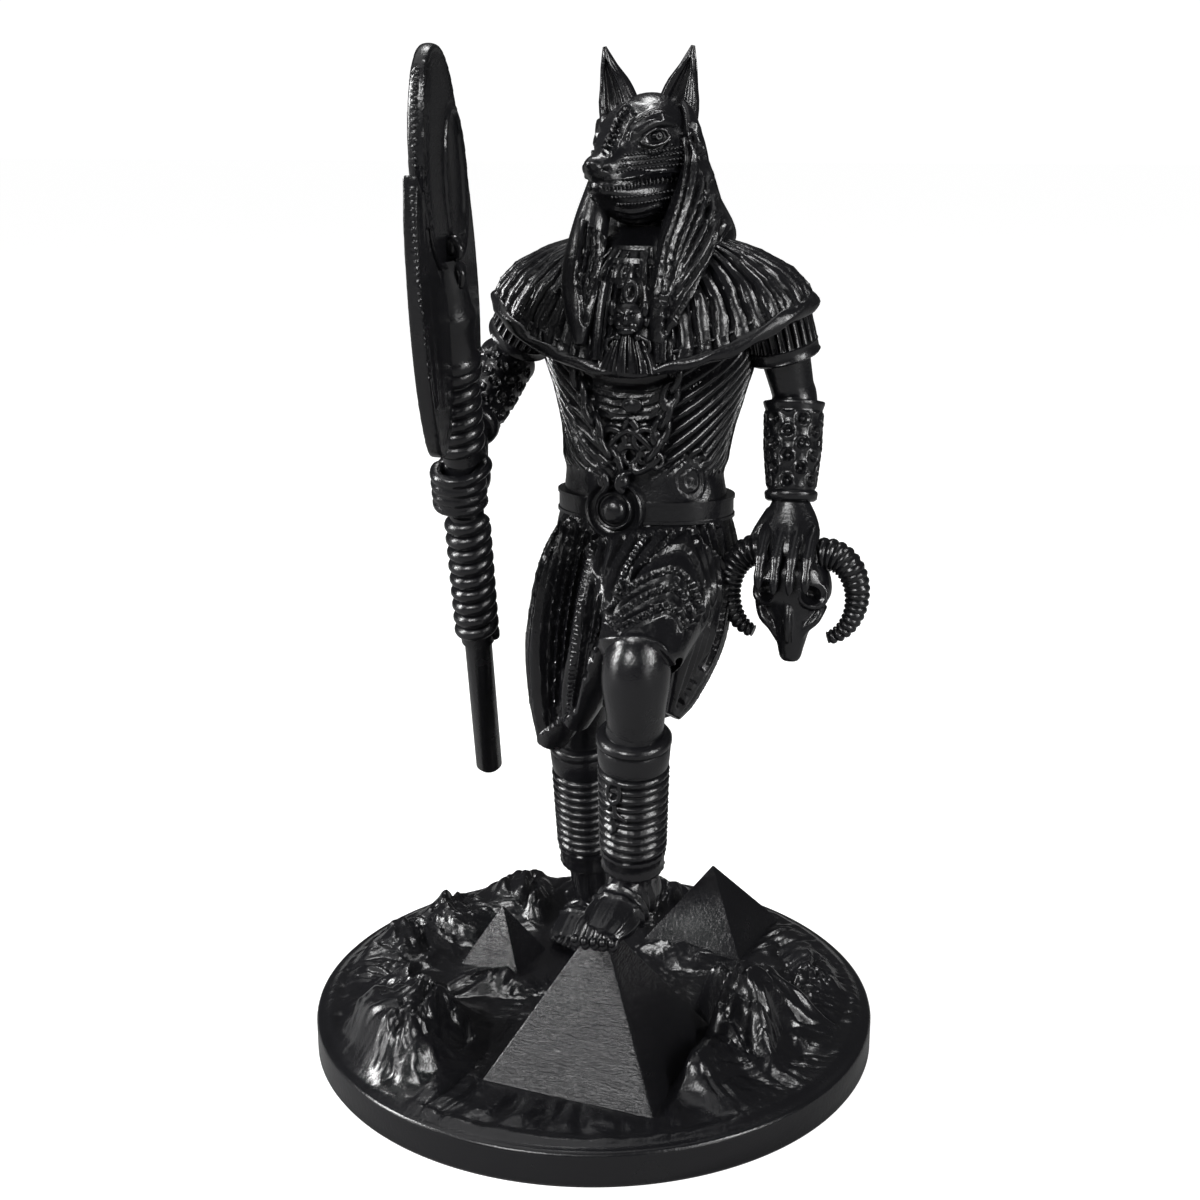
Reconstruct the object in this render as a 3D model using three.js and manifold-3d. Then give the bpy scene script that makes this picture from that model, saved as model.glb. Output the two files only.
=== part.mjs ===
// A cast statuette of a striding jackal-headed guardian of old Egypt, in three pieces:
// a round base with rocks and pyramids, the figure with all it wears and the ram skull
// it carries, and the tall staff that runs through its right fist.
// Millimetres, +Z up. The figure faces -Y, and its left hand is towards +X.
import * as THREE from 'three';
import { mergeVertices } from 'three/addons/utils/BufferGeometryUtils.js';
import Module from 'manifold-3d';

// The round base
const BASE_DIAMETER = 160;
const BASE_THICKNESS = 9.8;
const RIM_ROUNDING = 1.2;
const GROUND_RISE = 1.2;
const ROCK_RELIEF = 19;
// Pyramids that stand on the base: side, height, place and turn
const FRONT_PYRAMID_SIDE = 48;
const FOOT_REST_WIDTH = 4;
const LEFT_PYRAMID_SIDE = 19;
const LEFT_PYRAMID_HEIGHT = 16.6;
const BACK_PYRAMID_SIDE = 32;
const BACK_PYRAMID_HEIGHT = 21.5;
// The figure, from its standing sole to the tips of its ears
const FIGURE_HEIGHT = 260;
// The staff
const STAFF_LENGTH = 212;
const ROD_DIAMETER = 7.6;
const WRAP_DIAMETER = 12;
const WRAP_PITCH = 4.85;
const FIST_HEIGHT = 13.2;
const HEAD_THICKNESS = 2.8;
const DISC_LENGTH = 53;
const DISC_WIDTH = 33;
const EYE_LENGTH = 35;
const EYE_WIDTH = 16.5;
const EYE_DEPTH = 1;
const HORNS_WIDTH = 51;
const STAFF_LEAN = 20;
const HEAD_TURN = 9;
// Room between pieces
const SOLE_GAP = 0.3;
const GRIP_GAP = 0.3;
const WRAP_CLEARANCE = 0.8;

// The figure is drawn 260 units tall; every length of it is a share of its height.
const DRAWN_HEIGHT = 260;
const unit = FIGURE_HEIGHT / DRAWN_HEIGHT;
const baseRadius = BASE_DIAMETER / 2;
const ground = BASE_THICKNESS + GROUND_RISE;
const leadingSole = 37.2;
const TAU = Math.PI * 2;

const wasm = await Module();
wasm.setup();

const vec = (x, y, z) => new THREE.Vector3(x, y, z);
const drawn = (x, y, z) => vec(x, y, z).multiplyScalar(unit);
const mix = (a, b, t) => a + (b - a) * t;
const clamp01 = (t) => Math.min(1, Math.max(0, t));
const ease = (t) => clamp01(t) ** 2 * (3 - 2 * clamp01(t));
const radians = (degrees) => (degrees * Math.PI) / 180;

// A closed mesh becomes a solid that can be joined and cut.
function solidOf(geometry) {
  const bare = geometry.clone();
  bare.deleteAttribute('normal');
  bare.deleteAttribute('uv');
  const merged = mergeVertices(bare, 1e-5);
  const vertProperties = Float32Array.from(merged.attributes.position.array);
  const triVerts = Uint32Array.from(merged.index.array);
  return new wasm.Manifold(new wasm.Mesh({ numProp: 3, vertProperties, triVerts }));
}

// A solid becomes a mesh geometry again.
function geometryOf(solid) {
  const mesh = solid.getMesh();
  const corners = new Float32Array(mesh.numVert * 3);
  for (let i = 0; i < mesh.numVert; i += 1) {
    for (let axis = 0; axis < 3; axis += 1) {
      corners[i * 3 + axis] = mesh.vertProperties[i * mesh.numProp + axis];
    }
  }
  const geometry = new THREE.BufferGeometry();
  geometry.setAttribute('position', new THREE.BufferAttribute(corners, 3));
  geometry.setIndex(new THREE.BufferAttribute(Uint32Array.from(mesh.triVerts), 1));
  geometry.computeVertexNormals();
  return geometry;
}

const join = (solids) => solids.reduce((whole, next) => whole.add(next));

function moved(geometry, matrix) {
  return geometry.clone().applyMatrix4(matrix);
}

// A closed skin over a stack of rings with the same number of points, capped at both ends.
function loft(rings) {
  const count = rings[0].length;
  const points = rings.flat();
  const middle = (ring) => ring.reduce((sum, p) => sum.add(p), vec(0, 0, 0)).divideScalar(count);
  points.push(middle(rings[0]), middle(rings[rings.length - 1]));
  const first = points.length - 2;
  const last = points.length - 1;
  const faces = [];
  for (let i = 0; i < count; i += 1) {
    const next = (i + 1) % count;
    faces.push([first, next, i]);
    const top = (rings.length - 1) * count;
    faces.push([last, top + i, top + next]);
    for (let level = 0; level < rings.length - 1; level += 1) {
      const low = level * count;
      const high = low + count;
      faces.push([low + i, low + next, high + next], [low + i, high + next, high + i]);
    }
  }
  let volume = 0;
  for (const [a, b, c] of faces) {
    volume += points[a].dot(points[b].clone().cross(points[c]));
  }
  const outward = volume > 0 ? faces : faces.map(([a, b, c]) => [a, c, b]);
  const geometry = new THREE.BufferGeometry().setFromPoints(points);
  geometry.setIndex(outward.flat());
  return geometry;
}

// A limb, fold or strand: an oval section carried through stations [x, y, z, across, deep].
// The relief gives each point of each section a share of its radius, and no point of a
// limb that stands on something comes below its floor.
function limb(stations, sides, relief = () => 1, across = vec(1, 0, 0), floor = -Infinity) {
  const centres = stations.map(([x, y, z]) => drawn(x, y, z));
  const rings = stations.map(([, , , wide, deep], level) => {
    const before = centres[Math.max(0, level - 1)];
    const after = centres[Math.min(centres.length - 1, level + 1)];
    const ahead = after.clone().sub(before).normalize();
    const side = across.clone().addScaledVector(ahead, -across.dot(ahead)).normalize();
    const front = ahead.clone().cross(side);
    return Array.from({ length: sides }, (_, i) => {
      const angle = (i / sides) * TAU;
      const share = relief(angle, level, i) * unit;
      const point = centres[level]
        .clone()
        .addScaledVector(side, wide * Math.cos(angle) * share)
        .addScaledVector(front, deep * Math.sin(angle) * share);
      point.z = Math.max(point.z, floor * unit);
      return point;
    });
  });
  return solidOf(loft(rings));
}

// A level stack of ovals [x, y, z, across, deep], for the trunk, the cape and the skirt.
function stack(stations, sides, relief = () => 1, lift = () => 0) {
  const rings = stations.map(([x, y, z, wide, deep], level) =>
    Array.from({ length: sides }, (_, i) => {
      const angle = (i / sides) * TAU;
      const share = relief(angle, level, i);
      const rise = lift(angle, level);
      return drawn(
        x + wide * Math.cos(angle) * share,
        y + deep * Math.sin(angle) * share,
        z + rise,
      );
    }),
  );
  return solidOf(loft(rings));
}

// Flutes: every second point of a section stands back by a share of the radius.
const fluted = (depth) => (angle, level, i) => (i % 2 ? 1 - depth : 1);

// A round cord of one thickness along a few points.
function cord(points, radius, sides = 5, across = vec(1, 0.2, 0.1)) {
  const stations = points.map(([x, y, z]) => [x, y, z, radius, radius]);
  return limb(stations, sides, undefined, across);
}

// A ball or egg at a place, with half sizes along X, Y and Z.
function egg(place, half, turn = new THREE.Euler(), detail = [8, 5]) {
  const matrix = new THREE.Matrix4().compose(
    drawn(...place),
    new THREE.Quaternion().setFromEuler(turn),
    drawn(...half),
  );
  return solidOf(moved(new THREE.SphereGeometry(1, detail[0], detail[1]), matrix));
}

// The trunk, from the hips to the neck
const trunk = [
  [11, 12.5, 130, 20, 14],
  [11, 12, 142, 22.6, 14.6],
  [10.6, 12, 152, 21.8, 13.6],
  [11.4, 11.4, 162, 22.4, 14],
  [12, 10.8, 173, 25, 15.4],
  [12, 10, 186, 28.2, 16.4],
  [11.5, 10, 198, 24, 13],
  [11.8, 9.8, 209, 10, 9],
  [12.2, 9, 226, 7.6, 7.6],
];

// The front surface of the trunk at a height, where chains and carving lie.
function trunkFront(x, z, proud) {
  let level = 0;
  while (level < trunk.length - 2 && trunk[level + 1][2] < z) level += 1;
  const low = trunk[level];
  const high = trunk[level + 1];
  const t = clamp01((z - low[2]) / (high[2] - low[2]));
  const [cx, cy, , wide, deep] = low.map((value, k) => mix(value, high[k], t));
  const across = Math.min(0.97, Math.abs(x - cx) / wide);
  return [x, cy - deep * Math.sqrt(1 - across * across) - proud, z];
}

// Slanting ribs of muscle run down both flanks, and level wraps cross the belly.
function makeTrunk() {
  const ribs = (angle, level, i) => (level > 1 && level < 7 && (i + level) % 2 ? 0.94 : 1);
  const parts = [stack(trunk, 16, ribs)];
  for (let row = 0; row < 2; row += 1) {
    const points = [4, 18].map((x) => trunkFront(x, 172 - row * 5, 0.6));
    parts.push(cord(points, 1.8, 4, vec(0, 0, 1)));
  }
  return parts;
}

// The ribbed cape over the shoulders, with its rolled hem dipping front and back
const capeRibs = 18;
const hemDip = (angle) => -16 * Math.sin(angle) ** 2;

function makeCape() {
  // Each row: height, half width, half depth, share of the dip and depth of the flutes
  const rows = [
    [216, 12, 10.6, 0, 0],
    [211.6, 25, 17, 0.24, 0.05],
    [206.4, 36.6, 21.6, 0.6, 0.05],
    [199, 43, 25.2, 1, 0.03],
    [195.8, 42.8, 25, 1, 0],
    [198, 36, 20, 0.9, 0],
  ];
  const cape = stack(
    rows.map(([z, wide, deep]) => [12.8, 10, z, wide, deep]),
    capeRibs * 2,
    (angle, level, i) => (i % 2 ? 1 - rows[level][4] : 1),
    (angle, level) => hemDip(angle) * rows[level][3],
  );
  return [cape];
}

// Neck bands, the mask medallion, its loop and the fan below it
function makePendant() {
  return [
    stack([[12, 8.5, 202, 18, 18], [12, 8.5, 207.4, 16, 16]], 12),
    stack([[12, 8.5, 206.6, 13.6, 13.6], [12, 8.5, 210.8, 13, 13]], 10),
    egg([14.1, -14.8, 194.6], [4.6, 3.4, 5.2], undefined, [6, 4]),
    limb([[14, -13.2, 191, 2.4, 2.4], [14.2, -14.4, 181, 7.8, 2.6]], 10, fluted(0.14)),
  ];
}

// The two chains that hang from the cape and meet over the buckle. Their links lie in turn
// flat and on edge.
function makeChains() {
  const runs = [
    [[0, 186], [-0.8, 180], [-0.2, 174], [1.6, 168.5], [3.6, 163], [5.6, 158], [7, 154]],
    [[24.8, 187], [24.8, 181], [23.6, 175], [21.6, 169.5], [19, 164], [15.6, 159], [11.6, 155]],
  ];
  const parts = runs.map((run) => {
    const stations = run.map(([x, z], i) => {
      const [wide, deep] = i % 2 ? [1.2, 2.4] : [2.4, 1.2];
      return [...trunkFront(x, z, i ? 1 : 3), wide, deep];
    });
    return limb(stations, 4);
  });
  // The knotted cord between the chains
  const points = [4.5, 10.5, 16.5].map((x, i) => trunkFront(x, 157 + (i % 2) * 2, 0.6));
  parts.push(cord(points, 2, 4, vec(0, 0, 1)));
  return parts;
}

// The belt and its round buckle, a crescent about a stepped boss
const buckleCentre = [7.6, -4.2, 143.4];

function makeBelt() {
  const band = [
    [11, 12, 140, 24.3, 16.4],
    [11, 12, 145.6, 24.3, 16.4],
  ];
  const face = vec(-0.1, -1, 0.05).normalize();
  const turn = new THREE.Quaternion().setFromUnitVectors(vec(0, 1, 0), face);
  const profile = [[0, -3], [8, -3], [7.6, 2], [5.6, 0.8], [4.4, 2.2], [0, 3.8]];
  const disc = new THREE.LatheGeometry(
    profile.map(([radius, out]) => new THREE.Vector2(radius * unit, out * unit)),
    12,
  );
  const place = new THREE.Matrix4().compose(drawn(...buckleCentre), turn, vec(1, 1, 1));
  const parts = [stack(band, 18), solidOf(moved(disc, place))];
  for (const hand of [-1, 1]) {
    const knob = [buckleCentre[0] + hand * 2.3, -6.2, 151.4];
    parts.push(egg(knob, [2, 2, 2.2], undefined, [5, 3]));
  }
  return parts;
}

// The skirt: a fluted wrap, cloth drawn over the raised thigh, and hanging tails
function makeSkirt() {
  const folds = fluted(0.06);
  const deepFolds = fluted(0.12);
  const wrap = stack(
    [
      [10.8, 12, 142.8, 23.4, 15.4],
      [11.2, 12.6, 126, 25.8, 18.4],
      [7.8, 13.4, 108, 25.6, 20],
      [4.4, 14.6, 88, 20, 18.6],
      [4.4, 15, 90, 14, 13],
    ],
    20,
    folds,
    (angle, level) => (level > 2 ? 4 * Math.sin(angle * 2) : 0),
  );
  const thigh = limb(
    [
      [20, 0, 125, 17.4, 13.8],
      [22, -16, 120, 13.8, 12],
      [22.6, -29, 114.8, 11.6, 10],
      [22.6, -35, 112.6, 10.4, 8.2],
      [22.6, -33.5, 112, 8, 6.2],
    ],
    10,
    folds,
  );
  const sideFall = limb(
    [
      [31, 1, 124, 6.5, 15],
      [30.4, -3, 110, 5.6, 15],
      [27.6, -8.4, 97, 3.6, 10],
      [25.6, -12, 90.5, 1.6, 4],
    ],
    8,
    deepFolds,
  );
  const innerFall = limb(
    [
      [9, -10, 121, 8, 6],
      [6, -12, 106, 6, 8],
      [2, -4, 93, 3.2, 7],
    ],
    8,
    deepFolds,
  );
  const tail = limb(
    [
      [-2.2, 3, 142.2, 9.4, 5.4],
      [-5.4, 1, 126, 9.8, 7],
      [-8.2, 0.2, 112, 9.8, 7.4],
      [-9.6, -0.4, 98, 9.4, 7.2],
      [-10.8, -0.6, 82, 6.4, 5.6],
      [-12.6, -0.8, 73.6, 3, 3],
    ],
    10,
    deepFolds,
  );
  return [wrap, thigh, sideFall, innerFall, tail];
}

// A foot along its length, flat on its sole, with two sandal straps and five toes
function makeFoot(heel, ankle, ball, sole, toeSide) {
  const along = vec(ball[0] - heel[0], ball[1] - heel[1], 0).normalize();
  const across = vec(-along.y, along.x, 0);
  const between = (t) => [mix(ankle[0], ball[0], t), mix(ankle[1], ball[1], t)];
  const body = limb(
    [
      [heel[0] - along.x * 3, heel[1] - along.y * 3, sole + 3.6, 3, 3.6],
      [heel[0], heel[1], sole + 4.4, 5, 6],
      [...between(0.2), sole + 4.4, 5.5, 7.6],
      [...between(0.34), sole + 3.6, 6.4, 7.2],
      [...between(0.54), sole + 3.1, 6, 5.6],
      [...between(0.74), sole + 2.5, 7.2, 5.2],
      [...between(1.1), sole + 1.6, 6.6, 2.8],
    ],
    7,
    undefined,
    across,
    sole,
  );
  const toes = Array.from({ length: 5 }, (_, i) => {
    const out = (i - 2) * 2.75 * toeSide;
    const reach = 5.4 - i * 0.9;
    const size = i ? 1.6 : 2;
    const from = [ball[0] + across.x * out, ball[1] + across.y * out, sole + size];
    const at = (step) => [from[0] + along.x * step, from[1] + along.y * step];
    return limb(
      [
        [...from, size, size * 1.1],
        [...at(reach + 2), sole + size * 0.8, size, size * 0.8],
      ],
      4,
      undefined,
      across,
      sole,
    );
  });
  return join([body, ...toes]);
}

// A leg in one run: the bare knee, a greave of stacked rings between two cuffs, the ankle
function makeLeg(knee, top, foot, ankle, wide, count) {
  const at = (t, radius) => [
    mix(top[0], foot[0], t),
    mix(top[1], foot[1], t),
    mix(top[2], foot[2], t),
    radius,
    radius,
  ];
  const rows = [...knee, at(-0.02, wide * 0.84), at(0.01, wide * 1.06), at(0.2, wide)];
  for (let i = 0; i < count; i += 1) {
    const t = mix(0.21, 0.84, i / count);
    const step = 0.63 / count;
    rows.push(at(t, wide * 0.86), at(t + step * 0.5, wide));
  }
  rows.push(at(0.85, wide * 0.84), at(0.87, wide * 0.94));
  rows.push(at(0.99, wide * 0.88), at(1.01, wide * 0.7));
  rows.push(ankle);
  return limb(rows, 7);
}

function makeLegs() {
  const leadingKnee = [
    [22.6, -31, 118.6, 4, 3.4],
    [22.5, -32, 114.5, 8, 7.2],
    [22.3, -33, 106, 8.7, 8.6],
    [22, -32.4, 98, 7.8, 7.8],
  ];
  const trailingKnee = [
    [-5, 16, 98, 9, 9.4],
    [-9.6, 19.5, 80, 8, 8.2],
  ];
  return [
    makeLeg(leadingKnee, [21.1, -31.4, 91.4], [18.4, -22.6, 51.5], [18, -19.8, 42, 4.6, 5], 9.2, 5),
    makeFoot([19.4, -15.5], [18, -20.6], [14.4, -37.8], leadingSole, 1),
    makeLeg(trailingKnee, [-11.1, 22, 67.4], [-13.4, 34.2, 24.5], [-13.2, 38, 8, 5, 5.6], 9, 4),
    makeFoot([-12.2, 45], [-13.2, 39], [-15.4, 23.4], 0, -1),
  ];
}

// An arm in one run, with its ribbed sleeve and the studs of its bracer
function makeArm(shoulder, elbow, wrist, sleeveTo, ribs) {
  const between = (a, b, t) => a.map((value, k) => mix(value, b[k], t));
  const parts = [
    limb(
      [
        [...between(shoulder, elbow, 0.4), 6, 6],
        [...elbow, 5.9, 6],
        [...between(elbow, wrist, 0.05), 6.2, 6.2],
        [...between(elbow, wrist, 0.07), 8, 8],
        [...between(elbow, wrist, 0.5), 7.6, 7.4],
        [...between(elbow, wrist, 0.9), 6.3, 5.9],
        [...between(elbow, wrist, 0.92), 6.9, 6.5],
        [...between(elbow, wrist, 0.99), 6.7, 6.3],
        [...wrist, 4.8, 4.4],
      ],
      7,
    ),
    limb(
      [
        [...shoulder, 8.4, 9],
        [...between(shoulder, elbow, sleeveTo - 0.12), 8.4, 8.8],
        [...between(shoulder, elbow, sleeveTo - 0.08), 9, 9.4],
        [...between(shoulder, elbow, sleeveTo), 8.6, 9],
      ],
      ribs * 2,
      (angle, level, i) => (level < 2 && i % 2 ? 0.92 : 1),
    ),
  ];
  const start = drawn(...elbow);
  const end = drawn(...wrist);
  const ahead = end.clone().sub(start).normalize();
  const side = vec(1, 0, 0).addScaledVector(ahead, -ahead.x).normalize();
  const front = ahead.clone().cross(side);
  for (let row = 0; row < 2; row += 1) {
    const t = 0.34 + row * 0.3;
    const radius = mix(7.8, 6.2, t);
    for (let i = 0; i < 2; i += 1) {
      const angle = radians(-125 + i * 60 + row * 30);
      const centre = start.clone().lerp(end, t).divideScalar(unit);
      centre.addScaledVector(side, radius * Math.cos(angle));
      centre.addScaledVector(front, radius * Math.sin(angle));
      parts.push(egg(centre.toArray(), [1.3, 1.3, 1.3], undefined, [4, 2]));
    }
  }
  return parts;
}

// The ram skull under the left hand: cranium, brow, muzzle and two ringed horns
const skullTop = [54.2, 3.5, 131.6];

function makeSkull() {
  const [x, y, z] = skullTop;
  const bone = limb(
    [
      [x, y + 2.6, z + 2, 6, 5],
      [x + 0.1, y + 0.6, z - 4, 8.8, 8.2],
      [x + 0.2, y - 1.2, z - 9.5, 9.8, 7.4],
      [x + 0.3, y - 2.4, z - 14, 8, 5.8],
      [x + 0.5, y - 4, z - 20, 4.8, 4.4],
      [x + 0.6, y - 5.4, z - 25, 2.8, 2.6],
    ],
    8,
  );
  const sockets = [-1, 1].map((hand) =>
    egg([x + hand * 5.4, y - 7.4, z - 8.6], [2.9, 3.2, 3.4], new THREE.Euler(0, hand * 0.5, 0), [5, 4]),
  );
  const skull = sockets.reduce((left, socket) => left.subtract(socket), bone);
  const horns = [-1, 1].map((hand) => {
    const rows = 11;
    const stations = Array.from({ length: rows }, (_, i) => {
      const t = i / (rows - 1);
      const angle = mix(112, -82, t);
      const spread = mix(7.8, 7, t);
      const swell = i % 2 ? 1.1 : 0.92;
      const thick = mix(4.2, 1.2, t ** 1.5) * swell;
      return [
        x + 1 + hand * (9 + spread * Math.cos(radians(angle))),
        y + 1.5 - 2.4 * t,
        z - 10.5 + 11.2 * Math.sin(radians(angle)),
        thick,
        thick,
      ];
    });
    return limb(stations, 5, undefined, vec(0, 1, 0));
  });
  return [skull, ...horns];
}

// The left hand laid over the skull: back of the hand, a thumb and four long fingers
function makeOpenHand(wrist) {
  const [x, y, z] = wrist;
  const parts = [
    limb(
      [
        [x, y, z, 4.8, 4.2],
        [x + 0.6, y - 2, z - 6, 7.4, 3.8],
        [x + 1.2, y - 5, z - 11.5, 8.2, 3.6],
        [x + 1.4, y - 5.4, z - 14, 6.6, 3],
      ],
      8,
    ),
    limb(
      [
        [x - 4, y - 1.6, z - 3, 2.6, 2.8],
        [x - 7.8, y - 3.4, z - 9, 2.4, 2.6],
        [x - 8, y - 5.8, z - 14, 1.3, 1.5],
      ],
      5,
    ),
  ];
  for (let i = 0; i < 4; i += 1) {
    const out = x - 4.9 + i * 4.05;
    const drop = [0, 1.2, 1, 0][i];
    parts.push(
      limb(
        [
          [out, y - 6, z - 9.6, 1.8, 2.1],
          [out, y - 10, z - 14, 1.8, 2.1],
          [out, y - 12.8, z - 24 - drop, 0.9, 1.1],
        ],
        4,
      ),
    );
  }
  return parts;
}

// The staff's line: the middle of the grip, its direction and the way its flat head faces
const grip = [-29.3, -18.7, 150.3];
const lean = radians(STAFF_LEAN);
const staffAhead = vec(0.0814, -Math.sin(lean), Math.cos(lean)).normalize();
const gripAboveFoot = STAFF_LENGTH * 0.46;
const gripHalf = FIST_HEIGHT / 2;
const forward = vec(0, -1, 0).addScaledVector(staffAhead, staffAhead.y).normalize();
const headForward = forward.clone().applyAxisAngle(staffAhead, radians(HEAD_TURN));
const headSide = staffAhead.clone().cross(headForward);
const staffBasis = new THREE.Matrix4().makeBasis(headSide, headForward.clone().negate(), staffAhead);
const gripFrame = staffBasis.clone().setPosition(drawn(...grip));

// The right fist, built round the staff's line, with a bore that clears the rod
function makeFist(wrist) {
  const rod = ROD_DIAMETER / 2;
  const bore = rod + GRIP_GAP;
  const wrapBore = WRAP_DIAMETER / 2 + GRIP_GAP;
  const finger = 2.1 * unit;
  const inGrip = (geometry) => solidOf(moved(geometry, gripFrame));
  const parts = [];
  for (let i = 0; i < 4; i += 1) {
    const z = (1.5 - i) * FIST_HEIGHT * 0.222;
    const rings = Array.from({ length: 5 }, (_, step) => {
      const angle = radians(mix(150, 385, step / 4));
      const out = vec(Math.cos(angle), Math.sin(angle), 0);
      const size = finger * (step === 0 || step === 4 ? 0.6 : 1);
      return Array.from({ length: 4 }, (_, k) => {
        const turn = (k / 4) * TAU;
        return out
          .clone()
          .multiplyScalar(bore + finger * 0.86 + size * Math.cos(turn))
          .add(vec(-1.3 * unit, 0, z + size * Math.sin(turn)));
      });
    });
    parts.push(inGrip(loft(rings)));
  }
  const palm = new THREE.SphereGeometry(1, 8, 4);
  palm.scale(bore + 3.4 * unit, 5.4 * unit, gripHalf * 1.12);
  palm.translate(-1.4 * unit, bore + 0.6 * unit, 0.6 * unit);
  parts.push(inGrip(palm));
  const thumb = new THREE.SphereGeometry(1, 6, 4);
  thumb.scale(2 * unit, 4.6 * unit, 2.2 * unit);
  thumb.translate(bore + 1.4 * unit, 0, gripHalf * 0.84);
  parts.push(inGrip(thumb));
  const [x, y, z] = grip;
  const heel = [mix(wrist[0], x, 0.6) - 1, mix(wrist[1], y + 7, 0.6), z + 5.6, 5.2, 5];
  parts.push(limb([[...wrist, 4.6, 4.2], heel], 8));
  const clear = new THREE.LatheGeometry(
    [
      [0, -40 * unit],
      [wrapBore, -40 * unit],
      [wrapBore, -gripHalf],
      [bore, -gripHalf],
      [bore, gripHalf],
      [wrapBore, gripHalf],
      [wrapBore, 60 * unit],
      [0, 60 * unit],
    ].map(([radius, along]) => new THREE.Vector2(radius, along)),
    12,
  );
  clear.rotateX(Math.PI / 2);
  return { hand: join(parts), bore: inGrip(clear) };
}

// The head of a jackal, turned to its right, and the hood over it
const headCentre = vec(12.6, 8, 0);
const headYaw = radians(22);
const facing = vec(-Math.sin(headYaw), -Math.cos(headYaw), 0);
const headSideways = vec(Math.cos(headYaw), -Math.sin(headYaw), 0);
const onHead = (ahead, out, z) => [
  headCentre.x + facing.x * ahead + headSideways.x * out,
  headCentre.y + facing.y * ahead + headSideways.y * out,
  z,
];

function makeHead() {
  const parts = [
    limb(
      [
        [...onHead(-10.6, 0, 237), 6, 6],
        [...onHead(-7, 0, 236.8), 10, 10],
        [...onHead(-1, 0, 235.4), 11.2, 11.4],
        [...onHead(5, 0, 233.4), 10.8, 13.4],
        [...onHead(9.6, 0, 231.6), 9.2, 11.2],
        [...onHead(13.4, 0, 230.4), 6.6, 8],
        [...onHead(20.6, 0, 229.2), 4.6, 5.2],
        [...onHead(23.6, 0, 229.6), 2.4, 2.8],
      ],
      10,
      undefined,
      headSideways,
    ),
    egg(onHead(22.6, 0, 231.6), [2.5, 2.2, 1.8], undefined, [6, 4]),
    cord([onHead(4, 0, 247), onHead(11, 0, 241.8), onHead(18.6, 0, 235.4)], 1.4, 3),
  ];
  for (const hand of [-1, 1]) {
    // Eye, brow and the ear with its hollow
    parts.push(egg(onHead(8.6, hand * 8.4, 237.4), [1.9, 1.9, 1.6], undefined, [5, 4]));
    parts.push(cord([onHead(5, hand * 10.2, 239.4), onHead(12.4, hand * 6, 239.4)], 1.3, 3));
    const base = [11.6 + hand * 7, 10, 242.6];
    const tip = [11.6 + hand * 11.6, 9.4, 260];
    const ear = limb(
      [
        [...base, 6, 3.4],
        [mix(base[0], tip[0], 0.4), 9.8, 250, 4.2, 2.8],
        [...tip, 0.35, 0.35],
      ],
      6,
    );
    const hollow = limb(
      [
        [base[0] + hand * 0.4, 7.4, 244.6, 2.4, 1.6],
        [mix(base[0], tip[0], 0.35), 7.2, 249.6, 2.5, 1.6],
        [mix(base[0], tip[0], 0.8), 8, 256, 0.6, 0.5],
      ],
      4,
    );
    parts.push(ear.subtract(hollow));
  }
  return parts;
}

// The hood: twisted folds round the back and sides, open over the face and throat
function makeHood() {
  const openAt = (level) => radians(mix(-112, -95, level / 6));
  const folds = (angle, level, i) => {
    const turn = angle - openAt(level);
    const away = Math.abs(Math.atan2(Math.sin(turn), Math.cos(turn)));
    const cover = ease((away - radians(42)) / radians(34));
    return mix(0.42, 1, cover) * ((i + level) % 2 ? 0.95 : 1);
  };
  const body = stack(
    [
      [13, 11.6, 247.6, 5.4, 5.4],
      [13, 12, 242.5, 10.8, 12],
      [14, 12.6, 233, 13.4, 15],
      [15.2, 12.6, 223, 15, 16.6],
      [15.4, 12, 213, 18.4, 17.6],
      [13, 11, 205, 16, 13],
    ],
    18,
    folds,
  );
  const leftLappet = limb(
    [
      [25.4, 5, 230, 3.4, 5],
      [25.8, -3, 216.5, 8, 4.6],
      [21.4, -10, 204, 7.8, 3.8],
      [17, -13.6, 195, 4.8, 3],
      [15, -15, 187.6, 1.8, 1.8],
    ],
    8,
    fluted(0.14),
  );
  const rightLappet = limb(
    [
      [2.6, 1, 230, 2.6, 4.6],
      [1, -4.6, 216.5, 4.6, 4.4],
      [0, -10.4, 204, 5, 3.8],
      [0.8, -13.4, 195, 3.8, 3],
      [1.4, -14.8, 187.6, 1.5, 1.8],
    ],
    8,
    fluted(0.14),
  );
  return [body, leftLappet, rightLappet];
}

function makeFigure() {
  const rightShoulder = [-17, 12, 199];
  const rightElbow = [-31.5, 21, 179];
  const rightWrist = [-31.6, -7.4, 163.4];
  const leftShoulder = [44.6, 10, 200];
  const leftElbow = [50.4, 15, 172.5];
  const leftWrist = [51.6, 8.5, 146];
  const { hand, bore } = makeFist(rightWrist);
  const body = join([
    ...makeTrunk(),
    ...makeCape(),
    ...makePendant(),
    ...makeChains(),
    ...makeBelt(),
    ...makeSkirt(),
    ...makeLegs(),
    ...makeArm(rightShoulder, rightElbow, rightWrist, 0.72, 6),
    ...makeArm(leftShoulder, leftElbow, leftWrist, 0.62, 6),
    ...makeSkull(),
    ...makeOpenHand(leftWrist),
    ...makeHead(),
    ...makeHood(),
    hand,
  ]);
  return body.subtract(bore);
}

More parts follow.
